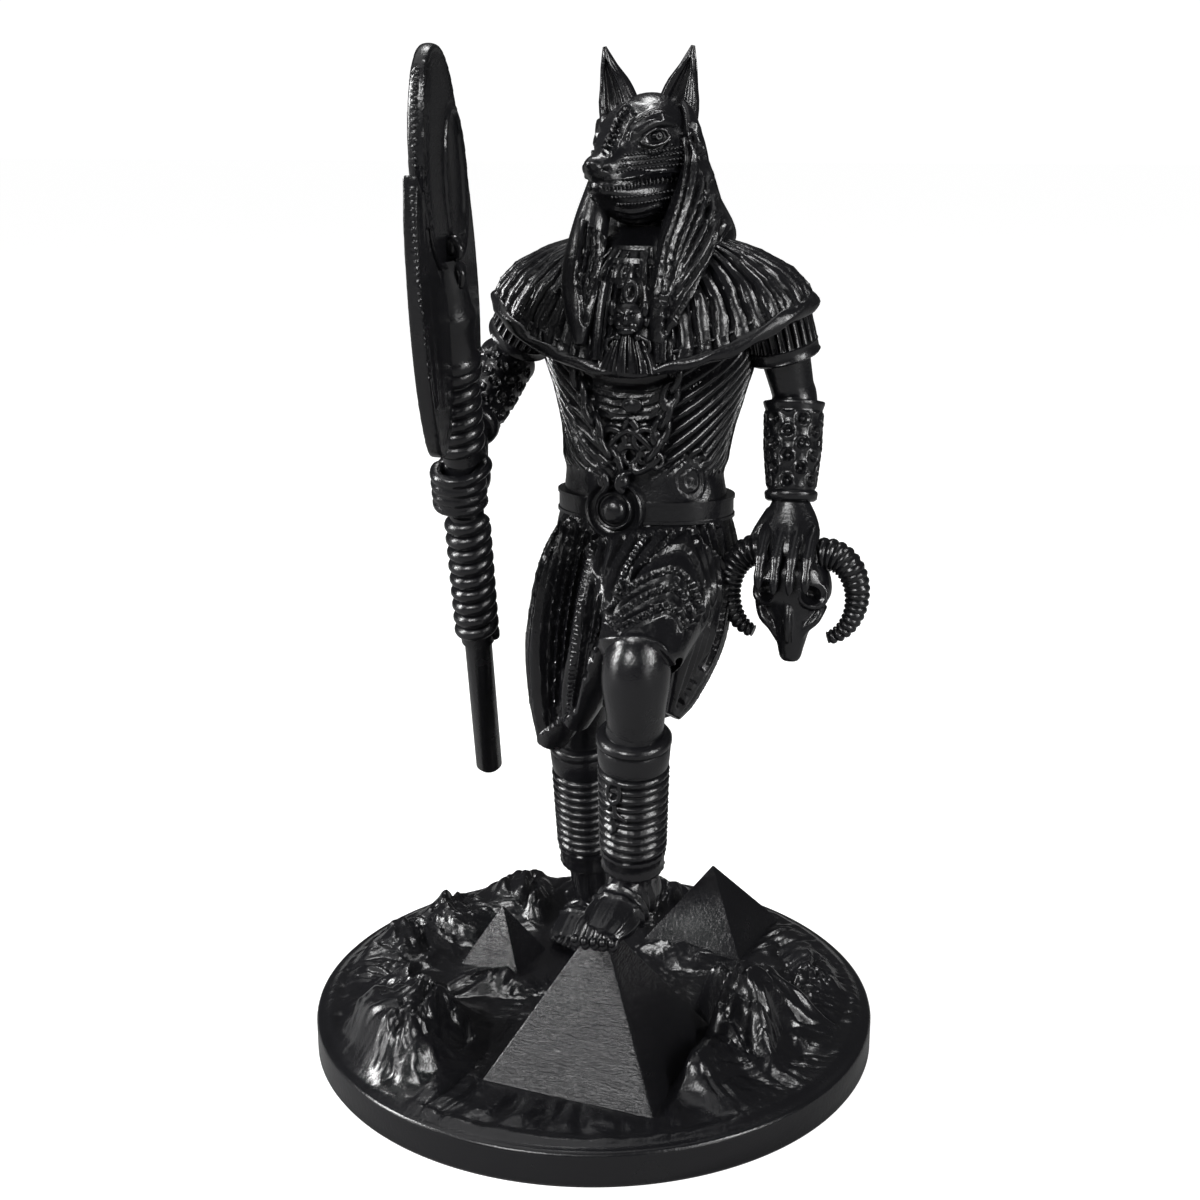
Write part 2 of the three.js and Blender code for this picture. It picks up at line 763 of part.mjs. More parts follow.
// Rocks: round mounds and a broken ridge, worn down to nothing at the rim
const MOUNDS = [
  [-0.49, -0.56, 1, 0.3, 0.36],
  [-0.62, -0.32, 0.55, 0.2, 0.26],
  [0.6, -0.1, 1, 0.26, 0.4],
  [0.52, -0.46, 0.45, 0.24, 0.2],
  [0.74, 0.24, 0.35, 0.16, 0.3],
  [-0.7, 0.36, 0.66, 0.2, 0.3],
  [-0.5, 0.56, 0.6, 0.3, 0.24],
  [-0.12, 0.78, 0.45, 0.36, 0.16],
  [-0.78, 0.06, 0.4, 0.16, 0.3],
];
const standingFoot = [-14, 34];

function rockHeight(x, y) {
  const u = x / baseRadius;
  const v = y / baseRadius;
  const out = Math.hypot(u, v);
  const mounds = MOUNDS.map(([cu, cv, tall, wide, long]) => {
    const away = Math.hypot((u - cu) / wide, (v - cv) / long);
    return ROCK_RELIEF * tall * (1 - ease(away));
  });
  const lump = Math.sin(u * 17 + 2 * Math.sin(v * 9)) * Math.cos(v * 15 + 1.5 * Math.sin(u * 11));
  const ripple = 0.045 * ROCK_RELIEF * (0.4 + lump) * (0.4 + Math.min(1, out * 1.4));
  const swell = Math.max(...mounds) + ripple;
  const footX = (x - standingFoot[0] * unit) / (15 * unit);
  const footY = (y - standingFoot[1] * unit) / (28 * unit);
  const level = ease((Math.hypot(footX, footY) - 0.75) / 0.5);
  return GROUND_RISE + swell * level * (1 - ease((out - 0.86) / 0.13));
}

function makeBase() {
  const sectors = 26;
  const bands = 9;
  const inner = baseRadius - RIM_ROUNDING;
  const rings = [];
  const circle = (radius, height) =>
    Array.from({ length: sectors }, (_, i) => {
      const angle = (i / sectors) * TAU;
      const x = radius * Math.cos(angle);
      const y = radius * Math.sin(angle);
      return vec(x, y, height(x, y));
    });
  rings.push(circle(baseRadius, () => 0));
  rings.push(circle(baseRadius, () => BASE_THICKNESS - RIM_ROUNDING));
  for (let band = 0; band < bands; band += 1) {
    const radius = inner * (1 - band / bands);
    rings.push(circle(radius, (x, y) => BASE_THICKNESS + (band ? rockHeight(x, y) : 0)));
  }
  const pyramid = (side, top, height, x, y, turn) => {
    const sunk = 6;
    const slope = (side - top) / height;
    const half = (width) => width / Math.SQRT2;
    const wide = half(side + slope * sunk);
    const frustum = new THREE.CylinderGeometry(half(top), wide, height + sunk, 4);
    frustum.rotateX(Math.PI / 2);
    frustum.rotateZ(radians(45 + turn));
    frustum.translate(x, y, ground + (height - sunk) / 2);
    return solidOf(frustum);
  };
  const restHeight = leadingSole * unit;
  const pyramids = [
    pyramid(FRONT_PYRAMID_SIDE, FOOT_REST_WIDTH, restHeight, 12.8 * unit, -33.3 * unit, -4),
    pyramid(LEFT_PYRAMID_SIDE, 0.4, LEFT_PYRAMID_HEIGHT, baseRadius * -0.4, baseRadius * 0.13, -14),
    pyramid(BACK_PYRAMID_SIDE, 0.4, BACK_PYRAMID_HEIGHT, baseRadius * 0.29, baseRadius * 0.59, 0),
  ];
  // The level print under the standing foot
  const print = new THREE.CylinderGeometry(1, 1, 60, 12);
  print.rotateX(Math.PI / 2);
  print.scale(12 * unit, 23 * unit, 1);
  print.translate(standingFoot[0] * unit, standingFoot[1] * unit, ground + 30);
  return join([solidOf(loft(rings)), ...pyramids]).subtract(solidOf(print));
}

// The staff in its own frame: its foot at the origin, its line along +Z, its head in YZ
function makeStaff() {
  const rod = ROD_DIAMETER / 2;
  const wrap = WRAP_DIAMETER / 2;
  const gripLow = gripAboveFoot - gripHalf - WRAP_CLEARANCE;
  const gripHigh = gripAboveFoot + gripHalf + WRAP_CLEARANCE;
  const lowerTurns = 9;
  const upperTurns = 5;
  const lowerWrap = gripLow - lowerTurns * WRAP_PITCH;
  const profile = [[0, 0], [rod * 0.8, 0], [rod, 1], [rod, lowerWrap - 1]];
  const wrapped = (from, turns, radius) => {
    for (let i = 0; i < turns; i += 1) {
      const low = from + i * WRAP_PITCH;
      profile.push([radius * 0.82, low], [radius, low + WRAP_PITCH * 0.5]);
    }
    profile.push([radius * 0.82, from + turns * WRAP_PITCH]);
  };
  wrapped(lowerWrap, lowerTurns, wrap);
  profile.push([rod, gripLow], [rod, gripHigh]);
  wrapped(gripHigh, upperTurns, wrap * 1.04);
  const collar = gripHigh + upperTurns * WRAP_PITCH;
  const neck = STAFF_LENGTH - DISC_LENGTH;
  // The flared socket fills the length between the collar and the head's neck
  const socket = neck - collar;
  profile.push(
    [wrap * 0.85, collar + socket * 0.02],
    [wrap * 1.18, collar + socket * 0.05],
    [wrap * 1.18, collar + socket * 0.2],
    [wrap * 1.04, collar + socket * 0.25],
    [wrap * 1.12, collar + socket * 0.6],
    [wrap * 0.84, collar + socket * 0.9],
    [0, collar + socket * 1.1],
  );
  const shaft = new THREE.LatheGeometry(
    profile.map(([radius, along]) => new THREE.Vector2(radius, along)),
    7,
  );
  shaft.rotateX(Math.PI / 2);

  // A flat outline in the head's plane, as [towards the front, along the staff]
  const plate = (outline, thick) => {
    const shape = new THREE.Shape(outline.map(([front, along]) => new THREE.Vector2(-front, along)));
    const geometry = new THREE.ExtrudeGeometry(shape, { depth: thick, bevelEnabled: false });
    geometry.translate(0, 0, -thick / 2);
    geometry.applyMatrix4(new THREE.Matrix4().makeBasis(vec(0, 1, 0), vec(0, 0, 1), vec(1, 0, 0)));
    return solidOf(geometry);
  };
  const oval = (front, along, wide, long, steps) =>
    Array.from({ length: steps }, (_, i) => {
      const angle = (i / steps) * TAU;
      return [front + (wide / 2) * Math.cos(angle), along + (long / 2) * Math.sin(angle)];
    });
  const discMiddle = STAFF_LENGTH - DISC_LENGTH / 2;
  const headMiddle = HORNS_WIDTH * 0.035;
  const discBack = headMiddle - DISC_WIDTH * 0.06;
  const eyeMiddle = discMiddle - (DISC_LENGTH - EYE_LENGTH) * 0.56;
  const eyeBack = headMiddle - (HORNS_WIDTH - EYE_WIDTH) * 0.36;
  const disc = [discBack, discMiddle, DISC_WIDTH, DISC_LENGTH];
  const eye = [eyeBack, eyeMiddle, EYE_WIDTH, EYE_LENGTH];
  const grown = ([front, along, wide, long], by) => [front, along, wide + by, long + by];
  // Raised borders of the disc and its eye
  const raised = HEAD_THICKNESS + 1.2;
  const discInside = plate(oval(...grown(disc, -4), 20), raised * 2);
  const discBorder = plate(oval(...disc, 20), raised).subtract(discInside);
  const head = [
    plate(oval(...disc, 20), HEAD_THICKNESS),
    discBorder,
    plate(oval(...grown(eye, 3), 12), raised),
  ];
  // The horns: two upright blades that hold the disc between their tips
  const half = HORNS_WIDTH / 2;
  const bladeRise = STAFF_LENGTH * 0.342;
  const bladeLow = neck - bladeRise * 0.565;
  const blade = [
    [0.6, 0.9],
    [0.75, 1],
    [0.9, 0.83],
    [1, 0.55],
    [1, 0.28],
    [0.88, 0.07],
    [0.7, 0],
    [0.5, 0.02],
    [0.34, 0.08],
    [0.2, 0.25],
    [0.14, 0.47],
    [0.34, 0.61],
    [0.54, 0.75],
  ];
  for (const hand of [1, -1]) {
    const outline = blade.map(([out, up]) => [
      headMiddle + half * out * hand,
      bladeLow + bladeRise * up,
    ]);
    head.push(plate(outline, HEAD_THICKNESS + 0.6));
  }
  // The eye is sunk from both faces, with a thin web left between
  const web = plate(oval(...eye, 12), HEAD_THICKNESS - EYE_DEPTH * 2);
  const sink = plate(oval(...eye, 12), raised * 2).subtract(web);
  const parts = [solidOf(shaft), join(head).subtract(sink)];
  // Knots of the ribbon that ties the head to the rod
  const knots = [
    [1, neck, 3.4],
    [1, neck + 7, 2.8],
    [-1, neck - 2, 3],
    [1, neck - socket * 0.42, 3],
  ];
  for (const [side, along, size] of knots) {
    const knot = new THREE.SphereGeometry(size, 6, 3);
    knot.scale(0.9, 1.2, 1);
    knot.translate(side * wrap * 0.5, 1, along);
    parts.push(solidOf(knot));
  }
  return join(parts);
}

const resin = () => new THREE.MeshStandardMaterial({ color: 0x17171a, roughness: 0.35, metalness: 0 });

const group = new THREE.Group();

const base = new THREE.Mesh(geometryOf(makeBase()), resin());
base.name = 'base';
group.add(base);

const standing = new THREE.Group();
standing.position.z = ground + SOLE_GAP;
group.add(standing);

const figure = new THREE.Mesh(geometryOf(makeFigure()), resin());
figure.name = 'figure';
standing.add(figure);

const staff = new THREE.Mesh(geometryOf(makeStaff()), resin());
staff.name = 'staff';
staff.quaternion.setFromRotationMatrix(staffBasis);
staff.position.copy(drawn(...grip)).addScaledVector(staffAhead, -gripAboveFoot);
standing.add(staff);

export default group;
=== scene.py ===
import math

import bpy
import numpy as np
from mathutils import Euler, Matrix, Vector
from mathutils.bvhtree import BVHTree


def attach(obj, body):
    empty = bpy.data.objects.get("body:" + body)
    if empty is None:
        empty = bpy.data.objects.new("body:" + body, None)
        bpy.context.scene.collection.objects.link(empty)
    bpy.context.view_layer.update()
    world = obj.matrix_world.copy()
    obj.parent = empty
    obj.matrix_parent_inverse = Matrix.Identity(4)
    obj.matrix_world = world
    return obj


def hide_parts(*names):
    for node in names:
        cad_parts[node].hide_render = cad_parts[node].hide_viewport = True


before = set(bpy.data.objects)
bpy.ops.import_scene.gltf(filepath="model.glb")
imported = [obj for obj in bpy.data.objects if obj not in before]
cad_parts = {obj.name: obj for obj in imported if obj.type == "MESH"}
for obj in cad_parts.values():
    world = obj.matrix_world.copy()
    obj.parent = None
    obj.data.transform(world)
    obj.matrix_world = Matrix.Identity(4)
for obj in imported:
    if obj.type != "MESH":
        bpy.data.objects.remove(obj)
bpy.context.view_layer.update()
bpy.ops.object.select_all(action="DESELECT")


# The base
# A round foot plate cast in black resin, with a low lip round its top. Melted rocks flow over
# it, and three pyramids stand among them. The plate, rocks and pyramids come out of one mould.

MM = 0.001
TAU = 2 * math.pi
PLATE_RADIUS = 79.4
PLATE_TOP = 9.8
LIP = 1.2
GROUND = 11.0
ROCK_RELIEF = 19.0
CELLS = 290
STANDING_FOOT = (-14.0, 34.0)
# Side, middle and turn of each pyramid
PYRAMID_FEET = ((48, 12.8, -33.3, -4), (19, -32.0, 10.4, -6), (32, 23.2, 47.2, -9))
# Side of the blunt top and height of each, and 1 for the layered finish or 0 for that of the rocks
PYRAMID_TOPS = ((4, 37.2, 1), (0.4, 16.6, 1), (0.4, 21.5, 0))
# Middle, height and half sizes of each mound, as shares of the plate's radius and the relief
MOUNDS = (
    (-0.49, -0.56, 1.0, 0.3, 0.36),
    (-0.62, -0.32, 0.55, 0.2, 0.26),
    (0.6, -0.1, 1.0, 0.26, 0.4),
    (0.52, -0.46, 0.45, 0.24, 0.2),
    (0.74, 0.24, 0.35, 0.16, 0.3),
    (-0.68, 0.36, 0.3, 0.26, 0.36),
    (-0.46, 0.6, 0.4, 0.36, 0.28),
    (-0.1, 0.78, 0.3, 0.4, 0.18),
    (-0.78, 0.04, 0.3, 0.18, 0.34),
    (0.24, 0.34, 0.24, 0.26, 0.12),
    (0.02, 0.3, 0.16, 0.2, 0.16),
    (-0.38, -0.08, 0.2, 0.22, 0.13),
)


def ease(value, start, end):
    """0 before start, 1 past end, and a smooth climb between them."""
    t = np.clip((value - start) / (end - start), 0, 1)
    return t * t * (3 - 2 * t)


def body_of_mesh(name, points, faces):
    """A mesh object at the origin, from points in millimetres."""
    mesh = bpy.data.meshes.new(name)
    mesh.from_pydata((np.asarray(points, float) * MM).tolist(), [], faces)
    mesh.update()
    made = bpy.data.objects.new(name, mesh)
    bpy.context.scene.collection.objects.link(made)
    return made


def rough(x, y, grain, seed):
    """Smooth noise from -1 to 1, in lumps about as wide as the grain."""
    table = np.random.default_rng(seed).uniform(-1, 1, (64, 64))
    u, v = x / grain + 640, y / grain + 640
    i, j = np.floor(u).astype(int), np.floor(v).astype(int)
    s, t = ease(u - i, 0, 1), ease(v - j, 0, 1)
    near = table[i % 64, j % 64] * (1 - s) + table[(i + 1) % 64, j % 64] * s
    far = table[i % 64, (j + 1) % 64] * (1 - s) + table[(i + 1) % 64, (j + 1) % 64] * s
    return near * (1 - t) + far * t


def billowed(x, y, grain, seed):
    """Round swells with narrow creases between them, from 0 to 1."""
    return 1 - np.exp(-((rough(x, y, grain, seed) / 0.36) ** 2))


def beside_pyramids(x, y):
    """0 under the pyramids and 1 a little way off, so that their feet stand on even ground."""
    clear = np.ones_like(x)
    for side, px, py, turn in PYRAMID_FEET:
        c, s = math.cos(math.radians(turn)), math.sin(math.radians(turn))
        across, along = (x - px) * c + (y - py) * s, (y - py) * c - (x - px) * s
        clear *= ease(np.maximum(np.abs(across), np.abs(along)) - side / 2, -1.5, 3.5)
    return clear


def rock_height(x, y):
    """How far the rocks and the ground stand over the plate."""
    u, v = x / PLATE_RADIUS, y / PLATE_RADIUS
    out = np.hypot(u, v)
    bend, sway = rough(x, y, 13, 3), rough(x, y, 13, 4)
    rise = np.zeros_like(u)
    shares = np.zeros_like(u) + 1e-6
    folds = np.zeros_like(u)
    for order, (cu, cv, tall, wide, long) in enumerate(MOUNDS):
        away = np.hypot((u + 0.05 * bend - cu) / wide, (v + 0.05 * sway - cv) / long)
        mound = tall * (1 - ease(away, 0, 1.02))
        # Folds run down the mound and drift to one side on their way
        turn = np.arctan2((v - cv) / long, (u - cu) / wide) + 0.7 * away + 0.5 * bend
        c, s = np.cos(turn), np.sin(turn)
        down = 0.9 * rough(1.4 * c + 1.1 * away, 1.4 * s - 1.3 * away, 1, 30 + order)
        down += 0.5 * billowed(1.9 * c + away, 1.9 * s - 1.2 * away, 1, 60 + order)
        folds += mound**4 * down * ease(away, 0.08, 0.55)
        shares += mound**4
        rise = np.maximum(rise, mound)
    folds *= (0.3 + 0.7 * ease(rise, 0.1, 0.6)) / shares
    flow_x, flow_y = x + 7 * bend + 3 * sway, y + 7 * sway - 3 * bend
    lobes = billowed(flow_x, flow_y, 10.5, 21)
    wrinkles = billowed(flow_x + 2 * lobes, flow_y - 2 * lobes, 4.6, 22)
    swell = ROCK_RELIEF * rise
    swell += (2.8 * folds + 3.0 * lobes + 0.9 * wrinkles - 2.9) * ease(rise, 0.02, 0.35)
    swell += 0.16 * np.cos(TAU * 2.5 * (lobes + folds)) * ease(rise, 0.05, 0.2)
    open_ground = (0.35 + 0.65 * ease(v, -0.55, 0.1)) * (0.5 + 0.5 * ease(out, 0.2, 0.6))
    swell += (1.2 * lobes + 0.5 * wrinkles) * open_ground
    swell += 0.09 * np.cos(TAU * 4 * lobes) + 0.12 * rough(x, y, 1.7, 8)
    cobbles = np.maximum(0, rough(x + 2 * bend, y + 2 * sway, 4.2, 77)) ** 1.2
    swell += 0.9 * cobbles * ease(v - u, 0.35, 0.8)
    # Drips run out to the lip
    heading = np.arctan2(v, u) + 0.06 * bend
    drips = billowed(np.cos(heading) * 13 + 2 * out, np.sin(heading) * 13 - 2 * out, 1, 90)
    swell += 0.9 * drips * ease(out, 0.6, 0.8)
    foot = np.hypot((x - STANDING_FOOT[0]) / 15, (y - STANDING_FOOT[1]) / 28)
    swell = swell * beside_pyramids(x, y) + 0.3 * (1 - beside_pyramids(x, y))
    height = GROUND - PLATE_TOP + swell * ease(foot, 0.75, 1.25)
    lip = 0.75 * np.exp(-(((out - 0.945) / 0.02) ** 2))
    return np.maximum(0.2, height) * (1 - ease(out, 0.86, 0.985)) + lip


def plate_and_rocks():
    """The plate as a grid drawn onto the disc, closed by its rounded lip, side and underside."""
    line = np.linspace(-1, 1, CELLS + 1)
    a, b = np.meshgrid(line, line, indexing="ij")
    wide = np.abs(a) > np.abs(b)
    with np.errstate(divide="ignore", invalid="ignore"):
        turn = np.where(wide, math.pi / 4 * b / a, math.pi / 2 - math.pi / 4 * a / b)
    turn = np.nan_to_num(turn)
    reach = np.where(wide, a, b)
    inner = PLATE_RADIUS - LIP
    x = (reach * np.cos(turn) * inner).ravel()
    y = (reach * np.sin(turn) * inner).ravel()
    z = PLATE_TOP + np.where(np.hypot(x, y) > inner - 0.01, 0, rock_height(x, y))
    foot = np.hypot((x - STANDING_FOOT[0]) / 12, (y - STANDING_FOOT[1]) / 23)
    z = np.where(foot < 1, np.minimum(z, GROUND), z)
    points = np.stack([x, y, z], axis=1)
    row = CELLS + 1
    corner = (np.arange(CELLS)[:, None] * row + np.arange(CELLS)[None, :]).ravel()
    faces = np.stack([corner, corner + row, corner + row + 1, corner + 1], axis=1).tolist()
    edge = [i * row for i in range(CELLS)]
    edge += [CELLS * row + j for j in range(CELLS)]
    edge += [i * row + CELLS for i in range(CELLS, 0, -1)]
    edge += list(range(CELLS, 0, -1))
    heading = np.arctan2(y[edge], x[edge])
    rings = [edge]
    steps = [(PLATE_RADIUS - LIP + LIP * math.sin(t), PLATE_TOP - LIP + LIP * math.cos(t))
             for t in (0.5, 1.05, math.pi / 2)]
    steps += [(PLATE_RADIUS, 0.8), (PLATE_RADIUS - 0.5, 0.0)]
    for radius, height in steps:
        first = len(points)
        level = np.full(len(edge), height)
        ring = np.stack([radius * np.cos(heading), radius * np.sin(heading), level], axis=1)
        points = np.concatenate([points, ring])
        rings.append(list(range(first, first + len(edge))))
    count = len(edge)
    for upper, lower in zip(rings, rings[1:]):
        for i in range(count):
            j = (i + 1) % count
            faces.append([upper[i], lower[i], lower[j], upper[j]])
    faces.append(rings[-1][::-1])
    return body_of_mesh("foot plate", points, faces)


def face_outwards(piece):
    """Every face of a closed piece turned to look out of it."""
    bpy.ops.object.select_all(action="DESELECT")
    piece.select_set(True)
    bpy.context.view_layer.objects.active = piece
    bpy.ops.object.mode_set(mode="EDIT")
    bpy.ops.mesh.select_all(action="SELECT")
    bpy.ops.mesh.normals_make_consistent(inside=False)
    bpy.ops.object.mode_set(mode="OBJECT")
    piece.select_set(False)


def use_modifier(piece, kind, **settings):
    """A modifier is added with its settings and applied at once."""
    bpy.ops.object.select_all(action="DESELECT")
    piece.select_set(True)
    bpy.context.view_layer.objects.active = piece
    added = piece.modifiers.new(kind, kind)
    for key, value in settings.items():
        setattr(added, key, value)
    bpy.ops.object.modifier_apply(modifier=added.name)
    piece.select_set(False)


def weld(parts, name):
    """Closed parts that overlap become one closed body."""
    body = parts[0]
    others = bpy.data.collections.new("others")
    bpy.context.scene.collection.children.link(others)
    for part in parts[1:]:
        for held in part.users_collection:
            held.objects.unlink(part)
        others.objects.link(part)
    use_modifier(body, "BOOLEAN", operation="UNION", operand_type="COLLECTION",
                 collection=others, solver="MANIFOLD")
    for part in parts[1:]:
        bpy.data.objects.remove(part)
    bpy.data.collections.remove(others)
    body.name = name
    return body


def cut(piece, tool):
    """A closed tool is cut out of the piece and thrown away."""
    use_modifier(piece, "BOOLEAN", operation="DIFFERENCE", object=tool, solver="MANIFOLD")
    bpy.data.objects.remove(tool)


def thin_out(piece, most):
    """Flat stretches are thinned until the piece has no more triangles than this."""
    piece.data.calc_loop_triangles()
    share = most / len(piece.data.loop_triangles)
    if share < 1:
        use_modifier(piece, "DECIMATE", ratio=share)


def finish_piece(piece, node, crease):
    """Smooth shading with crisp edges, and the piece takes its place in the frame."""
    piece.select_set(True)
    bpy.context.view_layer.objects.active = piece
    bpy.ops.object.shade_smooth_by_angle(angle=math.radians(crease))
    piece.select_set(False)
    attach(piece, "root")
    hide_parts(node)


def pyramid(side, top, height, x, y, turn):
    """A four-sided pyramid with its edges just broken, its root sunk in the plate."""
    sunk = 5.0
    foot = side + (side - top) / height * sunk
    bpy.ops.mesh.primitive_cone_add(
        vertices=4,
        radius1=foot / math.sqrt(2) * MM,
        radius2=top / math.sqrt(2) * MM,
        depth=(height + sunk) * MM,
        location=(x * MM, y * MM, (GROUND + (height - sunk) / 2) * MM),
        rotation=(0, 0, math.radians(45 + turn)),
    )
    made = bpy.context.object
    bpy.ops.object.transform_apply(location=True, rotation=True, scale=True)
    use_modifier(made, "BEVEL", width=min(0.35, top * 0.3) * MM, segments=2)
    return made


def black_resin(name, strata):
    """Black casting resin: a satin gloss that varies from place to place, over fine flow lines
    and a fine grain. With strata it shows the short wavy layers of cut stone instead."""
    made = bpy.data.materials.new(name)
    made.use_nodes = True
    nodes, links = made.node_tree.nodes, made.node_tree.links
    shader = nodes["Principled BSDF"]
    shader.inputs["Base Color"].default_value = (0.005, 0.005, 0.006, 1)
    shader.inputs["Specular IOR Level"].default_value = 0.5
    place = nodes.new("ShaderNodeTexCoord").outputs["Object"]

    def speckle(scale, detail, distortion=0.0, source=place):
        grain = nodes.new("ShaderNodeTexNoise")
        grain.inputs["Scale"].default_value = scale
        grain.inputs["Detail"].default_value = detail
        grain.inputs["Distortion"].default_value = distortion
        links.new(source, grain.inputs["Vector"])
        return grain.outputs["Fac"]

    def relief(height, distance, strength, over=None):
        bump = nodes.new("ShaderNodeBump")
        bump.inputs["Strength"].default_value = strength
        bump.inputs["Distance"].default_value = distance
        links.new(height, bump.inputs["Height"])
        if over:
            links.new(over, bump.inputs["Normal"])
        return bump.outputs["Normal"]

    gloss = nodes.new("ShaderNodeMapRange")
    gloss.inputs["To Min"].default_value = 0.1
    gloss.inputs["To Max"].default_value = 0.36
    links.new(speckle(90, 4), gloss.inputs["Value"])
    links.new(gloss.outputs["Result"], shader.inputs["Roughness"])
    finish = relief(speckle(1500, 3), 0.0002, 0.2)
    if strata:
        layers = nodes.new("ShaderNodeMapping")
        layers.inputs["Scale"].default_value = (1, 1, 7)
        links.new(place, layers.inputs["Vector"])
        long_grain = speckle(230, 6, 1.6, layers.outputs["Vector"])
        finish = relief(long_grain, 0.0006, 0.55, finish)
    else:
        finish = relief(speckle(420, 3, 2.0), 0.0004, 0.22, finish)
    links.new(finish, shader.inputs["Normal"])
    return made


stone_finish = black_resin("black resin, layered", strata=True)
base_finish = black_resin("black resin, rocks", strata=False)
rocks = plate_and_rocks()
face_outwards(rocks)
rocks.data.materials.append(base_finish)
rocks.data.materials.append(stone_finish)
pyramids = []
for (side, x, y, turn), (top, height, layered) in zip(PYRAMID_FEET, PYRAMID_TOPS):
    standing = pyramid(side, top, height, x, y, turn)
    standing.data.materials.append(base_finish)
    standing.data.materials.append(stone_finish)
    for face in standing.data.polygons:
        face.material_index = layered
    pyramids.append(standing)
base = weld([rocks, *pyramids], "base_casting")
finish_piece(base, "base", crease=32)


# The figure's trunk
# The bare body from the hips to the neck, of the same black resin. Slanting ribs are
# carved down both flanks. It is cast in one with all that the figure wears.

SOLE = 11.3
FINE = 1.0


def run_through(stations, step):
    """Rows of numbers at about one step along a smooth run through the stations."""
    rows = np.array(stations, float)
    held = np.concatenate([rows[:1] * 2 - rows[1:2], rows, rows[-1:] * 2 - rows[-2:-1]])
    out = []
    for i in range(1, len(held) - 2):
        p0, p1, p2, p3 = held[i - 1 : i + 3]
        count = max(1, int(math.ceil(np.linalg.norm((p2 - p1)[:3]) / step)))
        t = (np.arange(count) / count)[:, None]
        out.append(0.5 * (2 * p1 + (p2 - p0) * t + (2 * p0 - 5 * p1 + 4 * p2 - p3) * t**2
                          + (3 * p1 - p0 - 3 * p2 + p3) * t**3))
    out.append(rows[-1:])
    done = np.concatenate(out)
    done[:, 3:] = np.maximum(done[:, 3:], 0.05)
    return done


def distances(points):
    """How far along a run of points each of them lies."""
    return np.r_[0, np.cumsum(np.linalg.norm(np.diff(points, axis=0), axis=1))]


def smooth_line(points, step):
    """A smooth flat line through points, as places at about one step."""
    return run_through([[*point, 0] for point in points], step)[:, :2]


def evenly_through(stations, step, measured):
    """Straight runs through the stations in even steps, and each row's share of the way. The
    steps are measured over the first numbers of a station."""
    stops = np.array(stations, float)
    lengths = distances(stops[:, :measured])
    at = np.unique(np.r_[lengths, np.arange(0, lengths[-1], step)])
    rows = np.stack([np.interp(at, lengths, stops[:, k]) for k in range(5)], axis=1)
    return rows, np.interp(at, lengths, np.linspace(0, 1, len(stops)))


def skin(rings):
    """A closed skin over rings of points of the figure, each end closed on its middle."""
    rings = np.asarray(rings)
    count, around = rings.shape[:2]
    ends = [rings[:1].mean(axis=1), rings[-1:].mean(axis=1)]
    points = np.concatenate([rings.reshape(-1, 3), *ends])
    low = np.arange(count - 1)[:, None] * around
    here = np.arange(around)[None, :]
    after = (here + 1) % around
    high = low + around
    quads = np.stack([low + here, low + after, high + after, high + here], -1)
    quads = quads.reshape(-1, 4)
    one = np.arange(around)
    two = (one + 1) % around
    first, last, top = count * around, count * around + 1, (count - 1) * around
    caps = np.concatenate([
        np.stack([np.full(around, first), two, one], 1),
        np.stack([np.full(around, last), top + one, top + two], 1),
    ])
    a, b, c, d = (points[quads[:, k]] for k in range(4))
    volume = (np.cross(a, b) * c).sum() + (np.cross(a, c) * d).sum()
    e, f, g = (points[caps[:, k]] for k in range(3))
    volume += (np.cross(e, f) * g).sum()
    if volume < 0:
        quads, caps = quads[:, ::-1], caps[:, ::-1]
    points[:, 2] += SOLE
    return body_of_mesh("form", points, quads.tolist() + caps.tolist())


def strand(stations, around=32, step=0.9, relief=None, across=(1, 0, 0), floor=None,
           even=False):
    """A limb, fold or cord through stations [x, y, z, across, deep]. The relief raises the
    skin by millimetres, from the angle, the length so far and the height. The stations are
    joined by straight runs if they are even, and else by a smooth one."""
    around = max(5, int(around / FINE))
    if even:
        rows, _ = evenly_through(stations, step * FINE, 3)
    else:
        rows = run_through(stations, step * FINE)
    middle = rows[:, :3]
    ahead = np.gradient(middle, axis=0)
    ahead /= np.linalg.norm(ahead, axis=1)[:, None] + 1e-9
    side = np.array(across, float) - (ahead @ np.array(across, float))[:, None] * ahead
    side /= np.linalg.norm(side, axis=1)[:, None]
    front = np.cross(ahead, side)
    length = distances(middle)
    angle = np.arange(around)[None, :] / around * TAU
    proud = 0 if relief is None else relief(angle, length[:, None], middle[:, 2:3])
    wide = (rows[:, 3:4] + proud) * np.cos(angle)
    deep = (rows[:, 4:5] + proud) * np.sin(angle)
    rings = middle[:, None] + side[:, None] * wide[..., None] + front[:, None] * deep[..., None]
    if floor is not None:
        rings[..., 2] = np.maximum(rings[..., 2], floor)
    return skin(rings)


def shell(stations, around=96, step=1.0, relief=None, lift=None, even=False):
    """A level stack of ovals [x, y, z, across, deep], for the trunk, the cape and the kilt. The
    relief raises the skin and the lift raises the level, from the angle and the share so far."""
    around = int(around / FINE)
    if even:
        rows, part = evenly_through(stations, step * FINE, 5)
    else:
        rows = run_through(stations, step * FINE)
        part = np.linspace(0, 1, len(rows))
    angle = np.arange(around)[None, :] / around * TAU
    x, y, z, wide, deep = (rows[:, k : k + 1] for k in range(5))
    proud = 0 if relief is None else relief(angle, part[:, None], z)
    rise = 0 if lift is None else lift(angle, part[:, None])
    return skin(np.stack([
        x + (wide + proud) * np.cos(angle),
        y + (deep + proud) * np.sin(angle),
        z + rise + 0 * angle,
    ], axis=-1))


